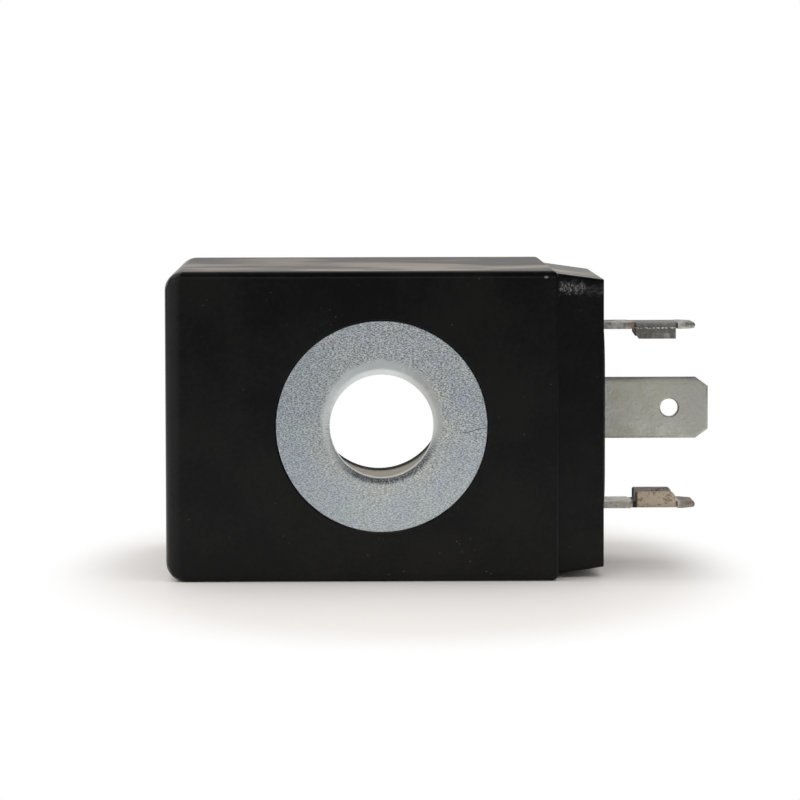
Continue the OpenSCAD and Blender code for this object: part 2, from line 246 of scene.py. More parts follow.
def settled(place, front):
    """How much film lies on the top: streaks, thicker towards the front."""
    streak = step(noise(place, 9 * MM, 3, (1.6, 1, 1)), 0.4, 0.6)
    forward = 1 - step(axes(place)[1], front, FILM_REAR)
    return 0.75 * streak + 0.25 * forward


def painted_edge_highlight(place, front, width):
    """1 on the top along its front edge, where a pale highlight is painted."""
    along_edge = 1 - step(axes(place)[1], front + width, front + 2.5 * width)
    return looking_up(place) * along_edge


def pale_spot(place):
    """One small pale spot high on the front, beside the plug base."""
    x, y, z = axes(place)
    wide = (x - PALE_SPOT.x) * (x - PALE_SPOT.x)
    high = (z - PALE_SPOT.z) * (z - PALE_SPOT.z)
    spot = 1 - step(wide + PALE_SPOT_FLATNESS * high, PALE_SPOT_CORE**2, PALE_SPOT_HALO**2)
    return nearer_than(y, BODY_FRONT_SIDE) * spot


def black_compound(place, front):
    """What the block and the plug base have in common."""
    cloud = noise(place, 6 * MM, 3)
    fleck = noise(place, 0.4 * MM, 3)
    grain = noise(place, 0.09 * MM, 2)
    dust_zone = step(noise(place, 3 * MM), 0.48, 0.66)
    dust = specks(place, 0.8 * MM, 0.09 * MM) * dust_zone
    tone = step(0.6 * cloud + 0.4 * fleck, 0.38, 0.62)
    colour = blend(tone, DEEP_BLACK, CLOUDED_BLACK)
    colour = blend(dust * 0.35, colour, grey(0.14))
    top = looking_up(place)
    film = top * settled(place, front)
    colour = blend(top * (0.5 + 0.5 * film), colour, FILM_BROWN)
    # A pale highlight is painted along the front edge of the top.
    colour = blend(0.12 * painted_edge_highlight(place, front, EDGE_HIGHLIGHT_WIDTH), colour, grey(0.4))
    return {
        "Base Color": colour,
        "Roughness": 0.23 + 0.06 * cloud + 0.08 * grain + 0.17 * top,
        "Coat Weight": 0.55 * film * film,
        "Coat Roughness": 0.3,
        "Coat Tint": FILM_TINT,
        "Specular IOR Level": 0.2,
        "Normal": bump(grain + 0.5 * fleck, 0.004 * MM),
    }


def body_compound(place):
    black = black_compound(place, body_low.y)
    # A small pale spot is painted high on the front, at the corner beside the plug base.
    black["Base Color"] = blend(0.8 * pale_spot(place), black["Base Color"], grey(0.16))
    return black


body_black = finish("body_black", body_compound)

# %% [markdown]
# ## The scuffed plug base
# The plug base is the same compound, but it was rubbed in packing along the top of its front side. The
# scuff starts beside the block as a crowd of short pale strokes and thins into a smear. It is a band
# in two coordinates with ragged borders, and a fine noise that is taller than wide gives the strokes.

# %% Black of the plug base
plug_low, plug_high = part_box("plug_base")
PLUG_FRONT_SIDE = -27 * MM
PLUG_EDGE_HIGHLIGHT_WIDTH = 0.7 * MM
SCUFF_FROM = 17.2 * MM
SCUFF_TO = 21.8 * MM
SCUFF_END = 0.2 * MM
SCUFF_LOW = 13.15 * MM
SCUFF_HIGH = 13.45 * MM
SCUFF_FADE = 0.6 * MM
SCUFF_RAGGED = 1.2 * MM
SMEAR_FROM = 19.4 * MM
SMEAR_FULL = 20.2 * MM
SMEAR_DROP = 0.25 * MM
SCUFF_GREY = (0.36, 0.35, 0.36, 1)


def scuffed_band(place):
    """1 on the strokes of the rubbed band, and less on the smear that they thin into."""
    x, y, z = axes(place)
    ragged = (noise(place, 0.5 * MM, 2) - 0.5) * SCUFF_RAGGED
    smear_and_bend_highlight = step(x + ragged, SMEAR_FROM, SMEAR_FULL)
    band = between(z + ragged + smear_and_bend_highlight * SMEAR_DROP, SCUFF_LOW, SCUFF_HIGH, SCUFF_FADE)
    run = step(x + ragged, SCUFF_FROM, SCUFF_FROM + SCUFF_END)
    run = run * (1 - step(x, SCUFF_TO - SCUFF_END, SCUFF_TO))
    uneven = step(noise(place, 0.4 * MM, 2), 0.4, 0.6)
    strokes = step(noise(place, 0.07 * MM, 2, (0.8, 1, 2.6)), 0.42, 0.7) * (0.35 + 0.65 * uneven)
    smear = 0.14 * step(noise(place, 0.3 * MM, 3, (3, 1, 0.8)), 0.25, 0.75)
    return band * run * nearer_than(y, PLUG_FRONT_SIDE) * (strokes * (1 - smear_and_bend_highlight) + smear * smear_and_bend_highlight)


def plug_compound(place):
    black = black_compound(place, plug_low.y)
    scuff = scuffed_band(place)
    # A stronger pale highlight is painted along the front edge of the plug base's top.
    edge_highlight = painted_edge_highlight(place, plug_low.y, PLUG_EDGE_HIGHLIGHT_WIDTH)
    colour = blend(0.4 * edge_highlight, black["Base Color"], grey(0.5))
    black["Base Color"] = blend(scuff, colour, SCUFF_GREY)
    black["Roughness"] = black["Roughness"] + 0.3 * scuff - 0.08 * looking_up(place)
    return black


plug_black = finish("plug_black", plug_compound)

# %% [markdown]
# ## Zinc plating
# The ring is blanked from rolled strip and zinc plated: short fine wrinkles run across it, the plating
# shifts from blue to a warm white near the hole, and one hairline scratch runs in from the rim. The flat
# is painted lighter towards the bottom as a reflection of the floor, lighter towards the top, and darker
# and bluer towards the left. Around the hole the strip is rolled in, which leaves a smooth border, and a
# lighter band is painted there, widest at the top where the roll catches the light. Below the hole the
# punch has torn a burr of short spokes into the start of the wall, and a dark reflection of the room
# above is painted over it. Wrinkles go into the bump, and tints, pits, painted light and burr into the
# colour. Borders on the ring are distances from the bore axis, and the spokes are a noise on the angle
# around it.

# %% Scratch, burr and zinc
SCRATCH_FROM = Vector((10.3, 0, -0.1)) * MM
SCRATCH_TO = Vector((6.7, 0, -0.85)) * MM
SCRATCH_WIDTH = 0.06 * MM
SCRATCH_WANDER = 0.35 * MM
SPOKE_ANGLE = 0.022
BURR_INSIDE = 5.35 * MM
BURR_OUTSIDE = 5.8 * MM
BURR_RAGGED = 14 * MM * MM
# Below these heights a dark reflection is painted over the burr.
DARK_REFLECTION_FULL = -4.4 * MM
DARK_REFLECTION_NONE = -1.2 * MM
DARK_REFLECTION_LEAN = 0.25
TORN_TO = -31.35 * MM
TORN_FADE = 0.3 * MM
TORN_RAGGED = 2 * MM
# The smooth rolled band is painted lighter, with its centre raised so that it is widest at the top, where
# the roll catches the light, and duller towards the right.
ROLL_RISE = 0.6 * MM
ROLL_RAGGED = 0.8 * MM
ROLL_INSIDE = 5.4 * MM
ROLL_OUTSIDE = 6.1 * MM
ROLL_PALE_TO = 0.5 * MM
ROLL_DULL_FROM = 5 * MM
WARM_INSIDE = 5.9 * MM
WARM_OUTSIDE = 8.2 * MM
# Painted light on the flat: lighter towards the bottom as a reflection of the floor, lighter towards the
# top, darker towards the left.
LOW_FULL = -9 * MM
LOW_NONE = 6 * MM
HIGH_NONE = 2 * MM
HIGH_FULL = 8 * MM
LEFT_FULL = -10 * MM
LEFT_NONE = 1 * MM


def hairline(place, start, end, width):
    """1 along a thin straight line on a face that looks along Y."""
    x, _, z = axes(place)
    run = end - start
    along = ((x - start.x) * run.x + (z - start.z) * run.z) * (1 / run.length_squared)
    across = ((x - start.x) * run.z - (z - start.z) * run.x) * (1 / run.length)
    inside = step(along, -0.05, 0.02) * (1 - step(along, 0.3, 1))
    aside = across + (noise(place, 0.8 * MM) - 0.5) * SCRATCH_WANDER
    return inside * (1 - step(aside.maths("ABSOLUTE", aside), 0.3 * width, width))


def spokes(place):
    """A noise that runs out from the bore axis in short spokes."""
    x, _, z = axes(place)
    angle = z.maths("ARCTAN2", z, x)
    return noise(place.add("CombineXYZ", inputs={"X": angle}), SPOKE_ANGLE, 2)


def burr_and_dark_reflection(place):
    """1 on the torn burr along the lower edge of the hole and on the torn start of the hole's wall,
    where a dark reflection of the room above is painted.
    """
    x, y, z = axes(place)
    ragged = spokes(place) - 0.5
    border = x * x + z * z + ragged * BURR_RAGGED
    # The dark band is painted only below the hole, where the roll mirrors the dark room above.
    lower = 1 - step(z - DARK_REFLECTION_LEAN * x, DARK_REFLECTION_FULL, DARK_REFLECTION_NONE)
    torn = 1 - step(y + ragged * TORN_RAGGED, TORN_TO - TORN_FADE, TORN_TO)
    broken = 0.5 + 0.5 * step(noise(place, 0.12 * MM, 2), 0.4, 0.6)
    return lower * torn * broken * (1 - step(border, BURR_INSIDE**2, BURR_OUTSIDE**2))


def zinc_tints(place, low):
    """The colour of the flat plating: bluish, greenish in patches and warm around the hole, with
    painted light: lighter towards the bottom as a reflection of the floor, lighter towards the top,
    and darker and bluer towards the left.
    """
    x, _, z = axes(place)
    out = x * x + z * z
    tint = step(noise(place, 3 * MM, 2), 0.35, 0.65)
    warm = (1 - step(out, WARM_INSIDE**2, WARM_OUTSIDE**2)) * (0.4 + 0.6 * tint)
    green = step(noise(place, 2.2 * MM, 2, (1.3, 1, 1)), 0.45, 0.65)
    high = step(z, HIGH_NONE, HIGH_FULL)
    left = 1 - step(x, LEFT_FULL, LEFT_NONE)
    colour = blend(tint, (0.64, 0.69, 0.77, 1), (0.70, 0.75, 0.77, 1))
    colour = blend(0.7 * green, colour, (0.69, 0.76, 0.73, 1))
    colour = blend(0.75 * warm, colour, (0.78, 0.78, 0.70, 1))
    # Painted reflection of the floor: lighter towards the bottom.
    colour = blend(0.25 * low, colour, (0.74, 0.82, 0.83, 1))
    # Painted lighter towards the top.
    colour = blend(0.5 * high, colour, (0.80, 0.82, 0.81, 1))
    # Painted darker and bluer towards the left.
    return blend(0.4 * left, colour, (0.44, 0.49, 0.55, 1))


def zinc_plating(place):
    x, _, z = axes(place)
    raised = z - ROLL_RISE + (noise(place, 1.2 * MM, 2) - 0.5) * ROLL_RAGGED
    flat = step(x * x + raised * raised, ROLL_INSIDE**2, ROLL_OUTSIDE**2)
    wrinkle = noise(place, 0.07 * MM, 2, (3, 1, 1))
    fleck = noise(place, 0.06 * MM, 1, (1.5, 1, 1))
    # The lower part, where a lighter reflection of the floor is painted and pits are fewer.
    low = 1 - step(z, LOW_FULL, LOW_NONE)
    dull = step(x, ROLL_PALE_TO, ROLL_DULL_FROM)
    # Colour of the painted lighter band around the hole, duller towards the right.
    rolled_band_and_highlight = blend(dull, (0.72, 0.76, 0.76, 1), (0.50, 0.52, 0.51, 1))
    colour = blend(1 - flat, zinc_tints(place, low), rolled_band_and_highlight)
    pits = flat * (1 - step(wrinkle * 0.7 + fleck * 0.3, 0.41, 0.59)) * (1 - 0.3 * low)
    colour = blend(pits, colour, (0.20, 0.23, 0.25, 1))
    burr_and_reflection = burr_and_dark_reflection(place)
    # Painted dark reflection over the torn burr below the hole.
    colour = blend(burr_and_reflection * 0.92, colour, (0.06, 0.055, 0.075, 1))
    scratch = hairline(place, SCRATCH_FROM, SCRATCH_TO, SCRATCH_WIDTH)
    colour = blend(scratch * 0.6, colour, grey(0.05))
    height = flat * (wrinkle + 0.4 * fleck) - 1.5 * scratch + 2 * spokes(place) * (1 - flat)
    return {
        "Base Color": colour,
        "Metallic": 1,
        "Roughness": 0.32 + 0.1 * flat + 0.12 * pits + 0.2 * burr_and_reflection,
        "Normal": bump(height, 0.02 * MM),
    }


zinc = finish("zinc_plate", zinc_plating)

# %% [markdown]
# ## Two steels
# The yoke is phosphated, which makes steel nearly black and matt, and the fine lines of the rolled strip
# still show in it as one stretched noise. The rivet is left plain, with an even grain.


# %% Phosphated and plain steel
def phosphated_steel(place):
    mill = noise(place, 0.12 * MM, 2, (6, 6, 1))
    patch = noise(place, 3 * MM, 3)
    colour = blend(patch, (0.020, 0.020, 0.021, 1), (0.038, 0.038, 0.036, 1))
    return {
        "Base Color": colour,
        "Roughness": 0.7 + 0.12 * mill + 0.1 * patch,
        "Specular IOR Level": 0.1,
        "Normal": bump(mill, 0.008 * MM),
    }


def plain_steel(place):
    mill = noise(place, 0.1 * MM, 2)
    colour = blend(mill, (0.38, 0.38, 0.37, 1), (0.52, 0.52, 0.50, 1))
    return {"Base Color": colour, "Metallic": 1, "Roughness": 0.35 + 0.2 * mill}


yoke_steel = finish("yoke_steel", phosphated_steel)
rivet_steel = finish("rivet_steel", plain_steel)

# %% [markdown]
# ## Tinned power blades
# The blades are tin plated and handled. The upper one is painted dark along its channel, with a broken
# pale line painted on the bend as its highlight and the stain laid on its upward faces as shade, and
# copper shows at its notch. The lower one is tanned by heat and spotted, the inner face of its far flap
# is painted a greyer brown as its shade, and its notch is painted dark as shade. One function lays
# mottled tin with a stain over it, and each blade then says where its own stains and painted shade lie.

# %% Tin of the power blades
CHANNEL_FROM = 25.5 * MM
CHANNEL_TO = 29.7 * MM
STAIN_FADE = 0.15 * MM
BLADE_MIDDLE = -14.4 * MM
UPPER_UNDERSIDE = 8.68 * MM
FOLD_LINE = 8.77 * MM
FOLD_HALF = 0.03 * MM
SMUDGE = Vector((28.7, 0, 7.95)) * MM
SMUDGE_CORE = 0.12 * MM
SMUDGE_HALO = 0.4 * MM
NOTCH_FROM = 24.8 * MM
NOTCH_TO = 25.4 * MM
# End of the painted shade in the notch of the lower blade.
NOTCH_SHADE_TO = 25.7 * MM
TIP_FROM = 29.9 * MM
TIP_FULL = 30.2 * MM


def tin_plating(place, dull, bright, stain, stained):
    """Mottled tin. The stain is an oxide, so it is less of a metal than the tin around it. On the
    power blades it also carries painted shade and a painted highlight.
    """
    mottle = step(noise(place, 0.35 * MM, 3), 0.3, 0.7)
    fine = noise(place, 0.1 * MM, 2)
    share = stained.maths("MINIMUM", stained, 1)
    colour = blend(share, blend(mottle, dull, bright), stain)
    return {
        "Base Color": colour,
        "Metallic": 1 - 0.8 * share,
        "Roughness": 0.3 + 0.15 * mottle + 0.25 * share,
        "Normal": bump(mottle + 0.4 * fine, 0.01 * MM),
    }


def grey_tin(place):
    """Painted dark along its channel, with a pale highlight line painted on the bend, a pale smudge,
    painted shade on its upward faces, and coppery at the notch.
    """
    x, y, z = axes(place)
    blot = step(noise(place, 0.3 * MM, 3), 0.3, 0.7)
    channel = between(x, CHANNEL_FROM, CHANNEL_TO, STAIN_FADE)
    near = 1 - step(y, BLADE_MIDDLE - 1 * MM, BLADE_MIDDLE)
    on_fold = between(z, FOLD_LINE - FOLD_HALF, FOLD_LINE + FOLD_HALF, 0.04 * MM)
    # A broken pale line is painted on the bend as its highlight.
    smear_and_bend_highlight = near * channel * on_fold * step(noise(place, 0.35 * MM, 2), 0.46, 0.56)
    from_smudge = (x - SMUDGE.x) * (x - SMUDGE.x) + (z - SMUDGE.z) * (z - SMUDGE.z)
    smudge = near * (1 - step(from_smudge, SMUDGE_CORE**2, SMUDGE_HALO**2))
    # The channel is painted dark, except where the bend's highlight is painted.
    dark = channel * (0.8 + 0.2 * blot) * (1 - 0.5 * smudge) * (1 - smear_and_bend_highlight)
    # Upward faces: outside the channel the stain is laid on them as painted shade, and it is painted a
    # little lighter on them.
    top = looking_up(place, 0.5, 0.95)
    spots = (1 - channel) * (0.6 * step(noise(place, 0.8 * MM, 3), 0.46, 0.64) + 0.4 * top)
    stain = blend(top, (0.115, 0.110, 0.100, 1), (0.15, 0.145, 0.135, 1))
    # The painted highlight on the bend, in a pale colour.
    stain = blend(smear_and_bend_highlight, stain, (0.80, 0.74, 0.70, 1))
    tin = tin_plating(place, (0.40, 0.39, 0.36, 1), (0.70, 0.68, 0.65, 1), stain, dark + smear_and_bend_highlight + spots)
    above = step(z, UPPER_UNDERSIDE, UPPER_UNDERSIDE + 0.05 * MM)
    copper = between(x, NOTCH_FROM, NOTCH_TO, 0.1 * MM) * above * (0.3 + 0.5 * blot)
    tin["Base Color"] = blend(copper, tin["Base Color"], (0.36, 0.20, 0.13, 1))
    return tin


def tan_tin(place):
    """Tanned by heat on the near side of its fold, with brown spots, a greyer brown painted inside the
    far flap as its shade, painted shade in its notch, and brown at the tip.
    """
    x, y, _ = axes(place)
    channel = between(x, CHANNEL_FROM, CHANNEL_TO, STAIN_FADE)
    # The inner face of the far flap, which is painted a greyer brown as its shade.
    far = step(y, BLADE_MIDDLE, BLADE_MIDDLE + 0.5 * MM)
    spots = step(noise(place, 0.28 * MM, 1), 0.52, 0.68)
    tan = blend(0.75 * spots, (0.56, 0.46, 0.335, 1), (0.19, 0.12, 0.08, 1))
    far_face_shade_brown = blend(spots, (0.46, 0.41, 0.38, 1), (0.20, 0.16, 0.14, 1))
    stain = blend(far * channel, tan, far_face_shade_brown)
    tip = step(x, TIP_FROM, TIP_FULL)
    stain = blend(tip, stain, (0.22, 0.17, 0.14, 1))
    # Painted shade in the notch at the inner end of the channel.
    notch_shade = between(x, NOTCH_TO, NOTCH_SHADE_TO, STAIN_FADE)
    stain = blend(0.9 * notch_shade, stain, grey(0.03))
    edge_spots = (1 - channel) * (0.6 * step(noise(place, 0.6 * MM, 3), 0.44, 0.64) + 0.65 * tip)
    stained = 0.9 * channel + notch_shade + edge_spots
    return tin_plating(place, (0.36, 0.34, 0.31, 1), (0.62, 0.60, 0.56, 1), stain, stained)


upper_tin = finish("upper_tin", grey_tin)
lower_tin = finish("lower_tin", tan_tin)

# %% [markdown]
# ## Tinned earth blade
# The earth blade faces the viewer, so its stains show most. They are wide and soft, in a yellow green,
# with a bluish strip along the plug base and a duller tip, and its upper edge is darkened with painted
# shade.

# %% Tin of the earth blade
BLUE_FULL = 22.5 * MM
BLUE_NONE = 24.5 * MM
DULL_NONE = 28 * MM
DULL_FULL = 33 * MM
EDGE_NONE = 2.6 * MM
EDGE_FULL = 2.85 * MM
EDGE_PALER_FROM = 24 * MM
EDGE_PALER_TO = 30 * MM


def stained_tin(place):
    """Wide soft stains, with a bluish strip at one end, a dull tip at the other, and painted shade
    along the upper edge.
    """
    x, _, z = axes(place)
    wide = step(noise(place, 3 * MM, 2), 0.35, 0.62)
    patch = 0.3 * step(noise(place, 1.4 * MM, 3), 0.42, 0.66)
    stain = blend(wide, (0.55, 0.56, 0.48, 1), (0.60, 0.59, 0.44, 1))
    tin = tin_plating(place, (0.59, 0.595, 0.54, 1), (0.69, 0.695, 0.635, 1), stain, 0.25 * wide + patch)
    near_base = 1 - step(x, BLUE_FULL, BLUE_NONE)
    upper_edge_shade = 0.38 - 0.22 * step(x, EDGE_PALER_FROM, EDGE_PALER_TO)
    colour = blend(near_base * 0.6, tin["Base Color"], (0.64, 0.69, 0.69, 1))
    colour = blend(0.75 * step(x, DULL_NONE, DULL_FULL), colour, (0.48, 0.48, 0.45, 1))
    # Painted shade along the coined upper edge, which mirrors the dark room above.
    colour = blend(step(z, EDGE_NONE, EDGE_FULL) * upper_edge_shade, colour, (0.13, 0.135, 0.155, 1))
    tin["Base Color"] = colour
    return tin


earth_tin = finish("earth_tin", stained_tin)

# %% [markdown]
# ## What is sealed inside
# The spool is natural nylon with short glass fibre, which shows as a faint fleck in the bore, and shade
# is painted on it towards the bore's far end and at its sides there. The wire pack, its tape, the leads,
# their sleeves and the solder never see daylight, but someone who opens the model should find them in
# their own colours.

# %% Nylon of the spool
# Painted shade near the far end of the bore and at its sides there.
BORE_SHADE = (0.06, 0.055, 0.045, 1)
SIDE_SHADE_FROM = -9.5 * MM
SIDE_SHADE_FULL = -5.5 * MM
SIDE_INNER = 2 * MM
SIDE_OUTER = 5 * MM
END_SHADE_FROM = -5.6 * MM
END_SHADE_FULL = -4.2 * MM


def natural_nylon(place):
    fleck = noise(place, 0.2 * MM, 2, (1, 5, 1))
    cloud = noise(place, 4 * MM, 2)
    x, y, _ = axes(place)
    colour = blend(cloud, (0.86, 0.76, 0.55, 1), (0.93, 0.83, 0.61, 1))
    at_side = step(x * x, SIDE_INNER**2, SIDE_OUTER**2)
    side_shade = step(y, SIDE_SHADE_FROM, SIDE_SHADE_FULL) * at_side
    end_shade = step(y, END_SHADE_FROM, END_SHADE_FULL)
    # Painted shade at the sides and at the far end of the bore.
    colour = blend(0.85 * side_shade, colour, BORE_SHADE)
    colour = blend(0.8 * end_shade, colour, BORE_SHADE)
    return {
        "Base Color": colour,
        "Roughness": 0.4 + 0.15 * fleck,
        "Normal": bump(fleck, 0.006 * MM),
    }


bobbin_nylon = finish("bobbin_nylon", natural_nylon)


# %% Wire, tape, sleeves, solder and brass
def enamelled_wire(place):
    turn_lines = noise(place, 0.2 * MM, 1, (8, 1, 8))
    colour = blend(turn_lines, (0.30, 0.09, 0.03, 1), (0.56, 0.22, 0.09, 1))
    return {
        "Base Color": colour,
        "Metallic": 0.8,
        "Roughness": 0.25 + 0.15 * turn_lines,
        "Normal": bump(turn_lines, 0.05 * MM),
    }


def yellow_tape(place):
    crease = noise(place, 0.9 * MM, 3, (1, 4, 1))
    colour = blend(crease, (0.66, 0.44, 0.05, 1), (0.80, 0.58, 0.10, 1))
    return {"Base Color": colour, "Roughness": 0.2 + 0.2 * crease, "Normal": bump(crease, 0.02 * MM)}


def woven_sleeve(place):
    weave = noise(place, 0.12 * MM, 1, (1, 2, 1))
    colour = blend(weave, (0.62, 0.58, 0.50, 1), (0.80, 0.78, 0.72, 1))
    return {"Base Color": colour, "Roughness": 0.6 + 0.2 * weave, "Normal": bump(weave, 0.03 * MM)}


def soft_solder(place):
    frost = noise(place, 0.25 * MM, 3)
    colour = blend(frost, (0.52, 0.53, 0.54, 1), (0.70, 0.71, 0.72, 1))
    return {"Base Color": colour, "Metallic": 1, "Roughness": 0.2 + 0.25 * frost}


def turned_brass(place):
    lathe = noise(place, 0.06 * MM, 2, (1, 12, 12))
    colour = blend(lathe, (0.50, 0.34, 0.11, 1), (0.72, 0.54, 0.22, 1))
    return {"Base Color": colour, "Metallic": 1, "Roughness": 0.24 + 0.14 * lathe}


wire_enamel = finish("wire_enamel", enamelled_wire)
polyester_tape = finish("polyester_tape", yellow_tape)
sleeve_glass = finish("sleeve_glass", woven_sleeve)
solder_tin = finish("solder_tin", soft_solder)
insert_brass = finish("insert_brass", turned_brass)

# %% Paint the sealed pieces
INNER_FINISHES = {
    "bobbin": bobbin_nylon,
    "winding": wire_enamel,
    "winding_tape": polyester_tape,
    "earth_rivet": rivet_steel,
    "start_lead": wire_enamel,
    "finish_lead": wire_enamel,
    "start_lead_sleeve": sleeve_glass,
    "finish_lead_sleeve": sleeve_glass,
    "start_solder_joint": solder_tin,
    "finish_solder_joint": solder_tin,
}
for node, material in INNER_FINISHES.items():
    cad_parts[node].data.materials.clear()
    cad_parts[node].data.materials.append(material)
print("inner pieces painted:", len(INNER_FINISHES))

# %% [markdown]
# ## The moulded block
# The block is a box whose far end is rounded, and each of its edges has a radius of its own: the long
# edges at the far end are the roundest, the upright ones there a little less, and the others are only
# softened. A Bevel modifier reads such radii as weights on the edges and joins them cleanly at the
# corners, so the box goes through one on the bench before anything else is cut into it.

# %% Block with rounded end
END_RADIUS = 1.9 * MM
UPRIGHT_RADIUS = 1.6 * MM
EDGE_RADIUS = 0.8 * MM
SHOULDER_RADIUS = 0.6 * MM
SHOULDER_UPRIGHT = 0.2 * MM
TINY = 0.001 * MM


def block(bm, low, high):
    """A box between two corners. Returns its vertices."""
    place = Matrix.Translation((low + high) / 2) @ Matrix.Diagonal((*(high - low), 1))
    return bmesh.ops.create_cube(bm, size=1, matrix=place)["verts"]


def block_radius(edge):
    """The radius of one edge of the block, from the way it runs and the end it is at."""
    run = edge.verts[1].co - edge.verts[0].co
    if abs(run.x) > TINY:
        return EDGE_RADIUS
    if edge.verts[0].co.x > body_low.x + TINY:
        return SHOULDER_RADIUS if abs(run.y) > TINY else SHOULDER_UPRIGHT
    return END_RADIUS if abs(run.y) > TINY else UPRIGHT_RADIUS


def round_edges(bm, radius_of, segments):
    """Rounds each edge with its own radius and returns the result as a new bmesh."""
    largest = max(radius_of(edge) for edge in bm.edges)
    weights = bm.edges.layers.float.new("bevel_weight_edge")
    for edge in bm.edges:
        edge[weights] = radius_of(edge) / largest
    mesh = bpy.data.meshes.new("bench_block")
    bm.to_mesh(mesh)
    bm.free()
    bench = bpy.data.objects.new("bench_block", mesh)
    put_in_scene(bench)
    bevel = bench.modifiers.new("rounded_edges", "BEVEL")
    bevel.limit_method = "WEIGHT"
    bevel.width = largest
    bevel.segments = segments
    bevel.profile = 0.5
    rounded = bmesh.new()
    rounded.from_object(bench, bpy.context.evaluated_depsgraph_get())
    bpy.data.objects.remove(bench)
    bpy.data.meshes.remove(mesh)
    return rounded


body = bmesh.new()
block(body, body_low, body_high)
body = round_edges(body, block_radius, segments=12)
print("block:", len(body.faces), "faces before its openings")

# %% [markdown]
# ## Openings of the block
# The bed of the ring, the recess at the rear, the room inside and the pocket for the plug base are made
# with a few moves: open a face, lay a loop of edges in it, fill the flat between the loops, and push a
# loop in to make a wall. Booleans could cut the same holes, but loops keep the edges clean, so that
# they can be bevelled afterwards.

# %% Room inside the block
ROOM_HEIGHT = 13.1 * MM
FIT_GAP = 0.03 * MM
yoke_low, yoke_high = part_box("yoke_frame")


def unique(items):
    return list(dict.fromkeys(items))


def side_of(verts, direction):
    """The face of a box, given by its vertices, that lies furthest that way."""
    faces = unique(face for vert in verts for face in vert.link_faces)
    return max(faces, key=lambda face: face.calc_center_median().dot(Vector(direction)))


def open_face(bm, face):
    """Takes a face away and returns the edges around the opening."""
    edges = list(face.edges)
    bmesh.ops.delete(bm, geom=[face], context="FACES_ONLY")
    return edges


room = block(
    body,
    Vector((yoke_low.x - FIT_GAP, yoke_low.y, -ROOM_HEIGHT)),
    Vector((plug_low.x, yoke_high.y, ROOM_HEIGHT)),
)
room_front = open_face(body, side_of(room, (0, -1, 0)))
room_rear = open_face(body, side_of(room, (0, 1, 0)))
room_right = open_face(body, side_of(room, (1, 0, 0)))
print("room:", round((plug_low.x - yoke_low.x) / MM, 1), "mm long")

# %% Bed of the ring and recess
RECESS_RADIUS = 11.5 * MM
ALONG_Y = Matrix.Rotation(math.radians(90), 4, "X")
FACING = 0.9999
ring_low, ring_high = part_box("front_flux_ring")


def face_towards(bm, direction):
    """The largest flat face that looks that way."""
    bm.normal_update()
    facing = [face for face in bm.faces if face.normal.dot(Vector(direction)) > FACING]
    return max(facing, key=lambda face: face.calc_area())


def circle_loop(bm, radius, place, segments=128):
    made = bmesh.ops.create_circle(bm, segments=segments, radius=radius, matrix=place)
    return unique(edge for vert in made["verts"] for edge in vert.link_edges)


def fill(bm, *loops):
    """Fills the flat between an outline and the loops that lie in it."""
    edges = [edge for loop in loops for edge in loop]
    bmesh.ops.triangle_fill(bm, edges=edges, use_beauty=True)


def push(bm, loop, shift):
    """Draws a loop of edges out into a wall and returns the loop at its far end."""
    made = bmesh.ops.extrude_edge_only(bm, edges=loop)["geom"]
    verts = [item for item in made if isinstance(item, bmesh.types.BMVert)]
    bmesh.ops.translate(bm, vec=shift, verts=verts)
    edges = [item for item in made if isinstance(item, bmesh.types.BMEdge)]
    return [edge for edge in edges if all(vert in verts for vert in edge.verts)]


def across_y(x, y, z):
    """A placement for a flat shape that looks along Y."""
    return Matrix.Translation((x, y, z)) @ ALONG_Y


bed_rim = circle_loop(body, ring_high.x + FIT_GAP, across_y(0, body_low.y, 0))
fill(body, open_face(body, face_towards(body, (0, -1, 0))), bed_rim)
fill(body, room_front, push(body, bed_rim, (0, yoke_low.y - body_low.y, 0)))

recess_rim = circle_loop(body, RECESS_RADIUS, across_y(0, body_high.y, 0))
fill(body, open_face(body, face_towards(body, (0, 1, 0))), recess_rim)
fill(body, room_rear, push(body, recess_rim, (0, yoke_high.y - body_high.y, 0)))
print("recess:", round((body_high.y - yoke_high.y) / MM, 1), "mm deep")

# %% Pocket for the plug base
PLATE_SIDE = 26 * MM
ALONG_X = Matrix.Rotation(math.radians(90), 4, "Y")
plug_y = (plug_low.y + plug_high.y) / 2


def across_x(x, y, z):
    """A placement for a flat shape that looks along X."""
    return Matrix.Translation((x, y, z)) @ ALONG_X


def flat_face(bm, width, height, place):
    """A rectangle, lying in XY before it is placed."""
    shape = place @ Matrix.Diagonal((width, height, 1, 1))
    made = bmesh.ops.create_grid(bm, x_segments=1, y_segments=1, size=0.5, matrix=shape)
    return made["verts"][0].link_faces[0]


pocket_side = PLATE_SIDE + 2 * FIT_GAP
pocket = flat_face(body, pocket_side, pocket_side, across_x(body_high.x, plug_y, 0))
pocket_rim = open_face(body, pocket)
fill(body, open_face(body, face_towards(body, (1, 0, 0))), pocket_rim)
fill(body, room_right, push(body, pocket_rim, (plug_low.x - body_high.x, 0, 0)))
print("pocket:", round(pocket_side / MM, 2), "mm square")

# %% [markdown]
# ## A piece that stands for a solid
# A finer mesh takes the place of its solid under a name of its own. Doubles are merged and faces that
# lie in one plane are joined, so that the weighted normals keep flat faces flat beside small bevels.
# The block is the first to get this treatment, once its two round rims are softened.

# %% Rims rounded and block in place
RIM_ROUND = 0.12 * MM
RECESS_ROUND = 0.3 * MM
SAME_PLANE = math.radians(0.1)
SHARP_FROM = math.radians(35)


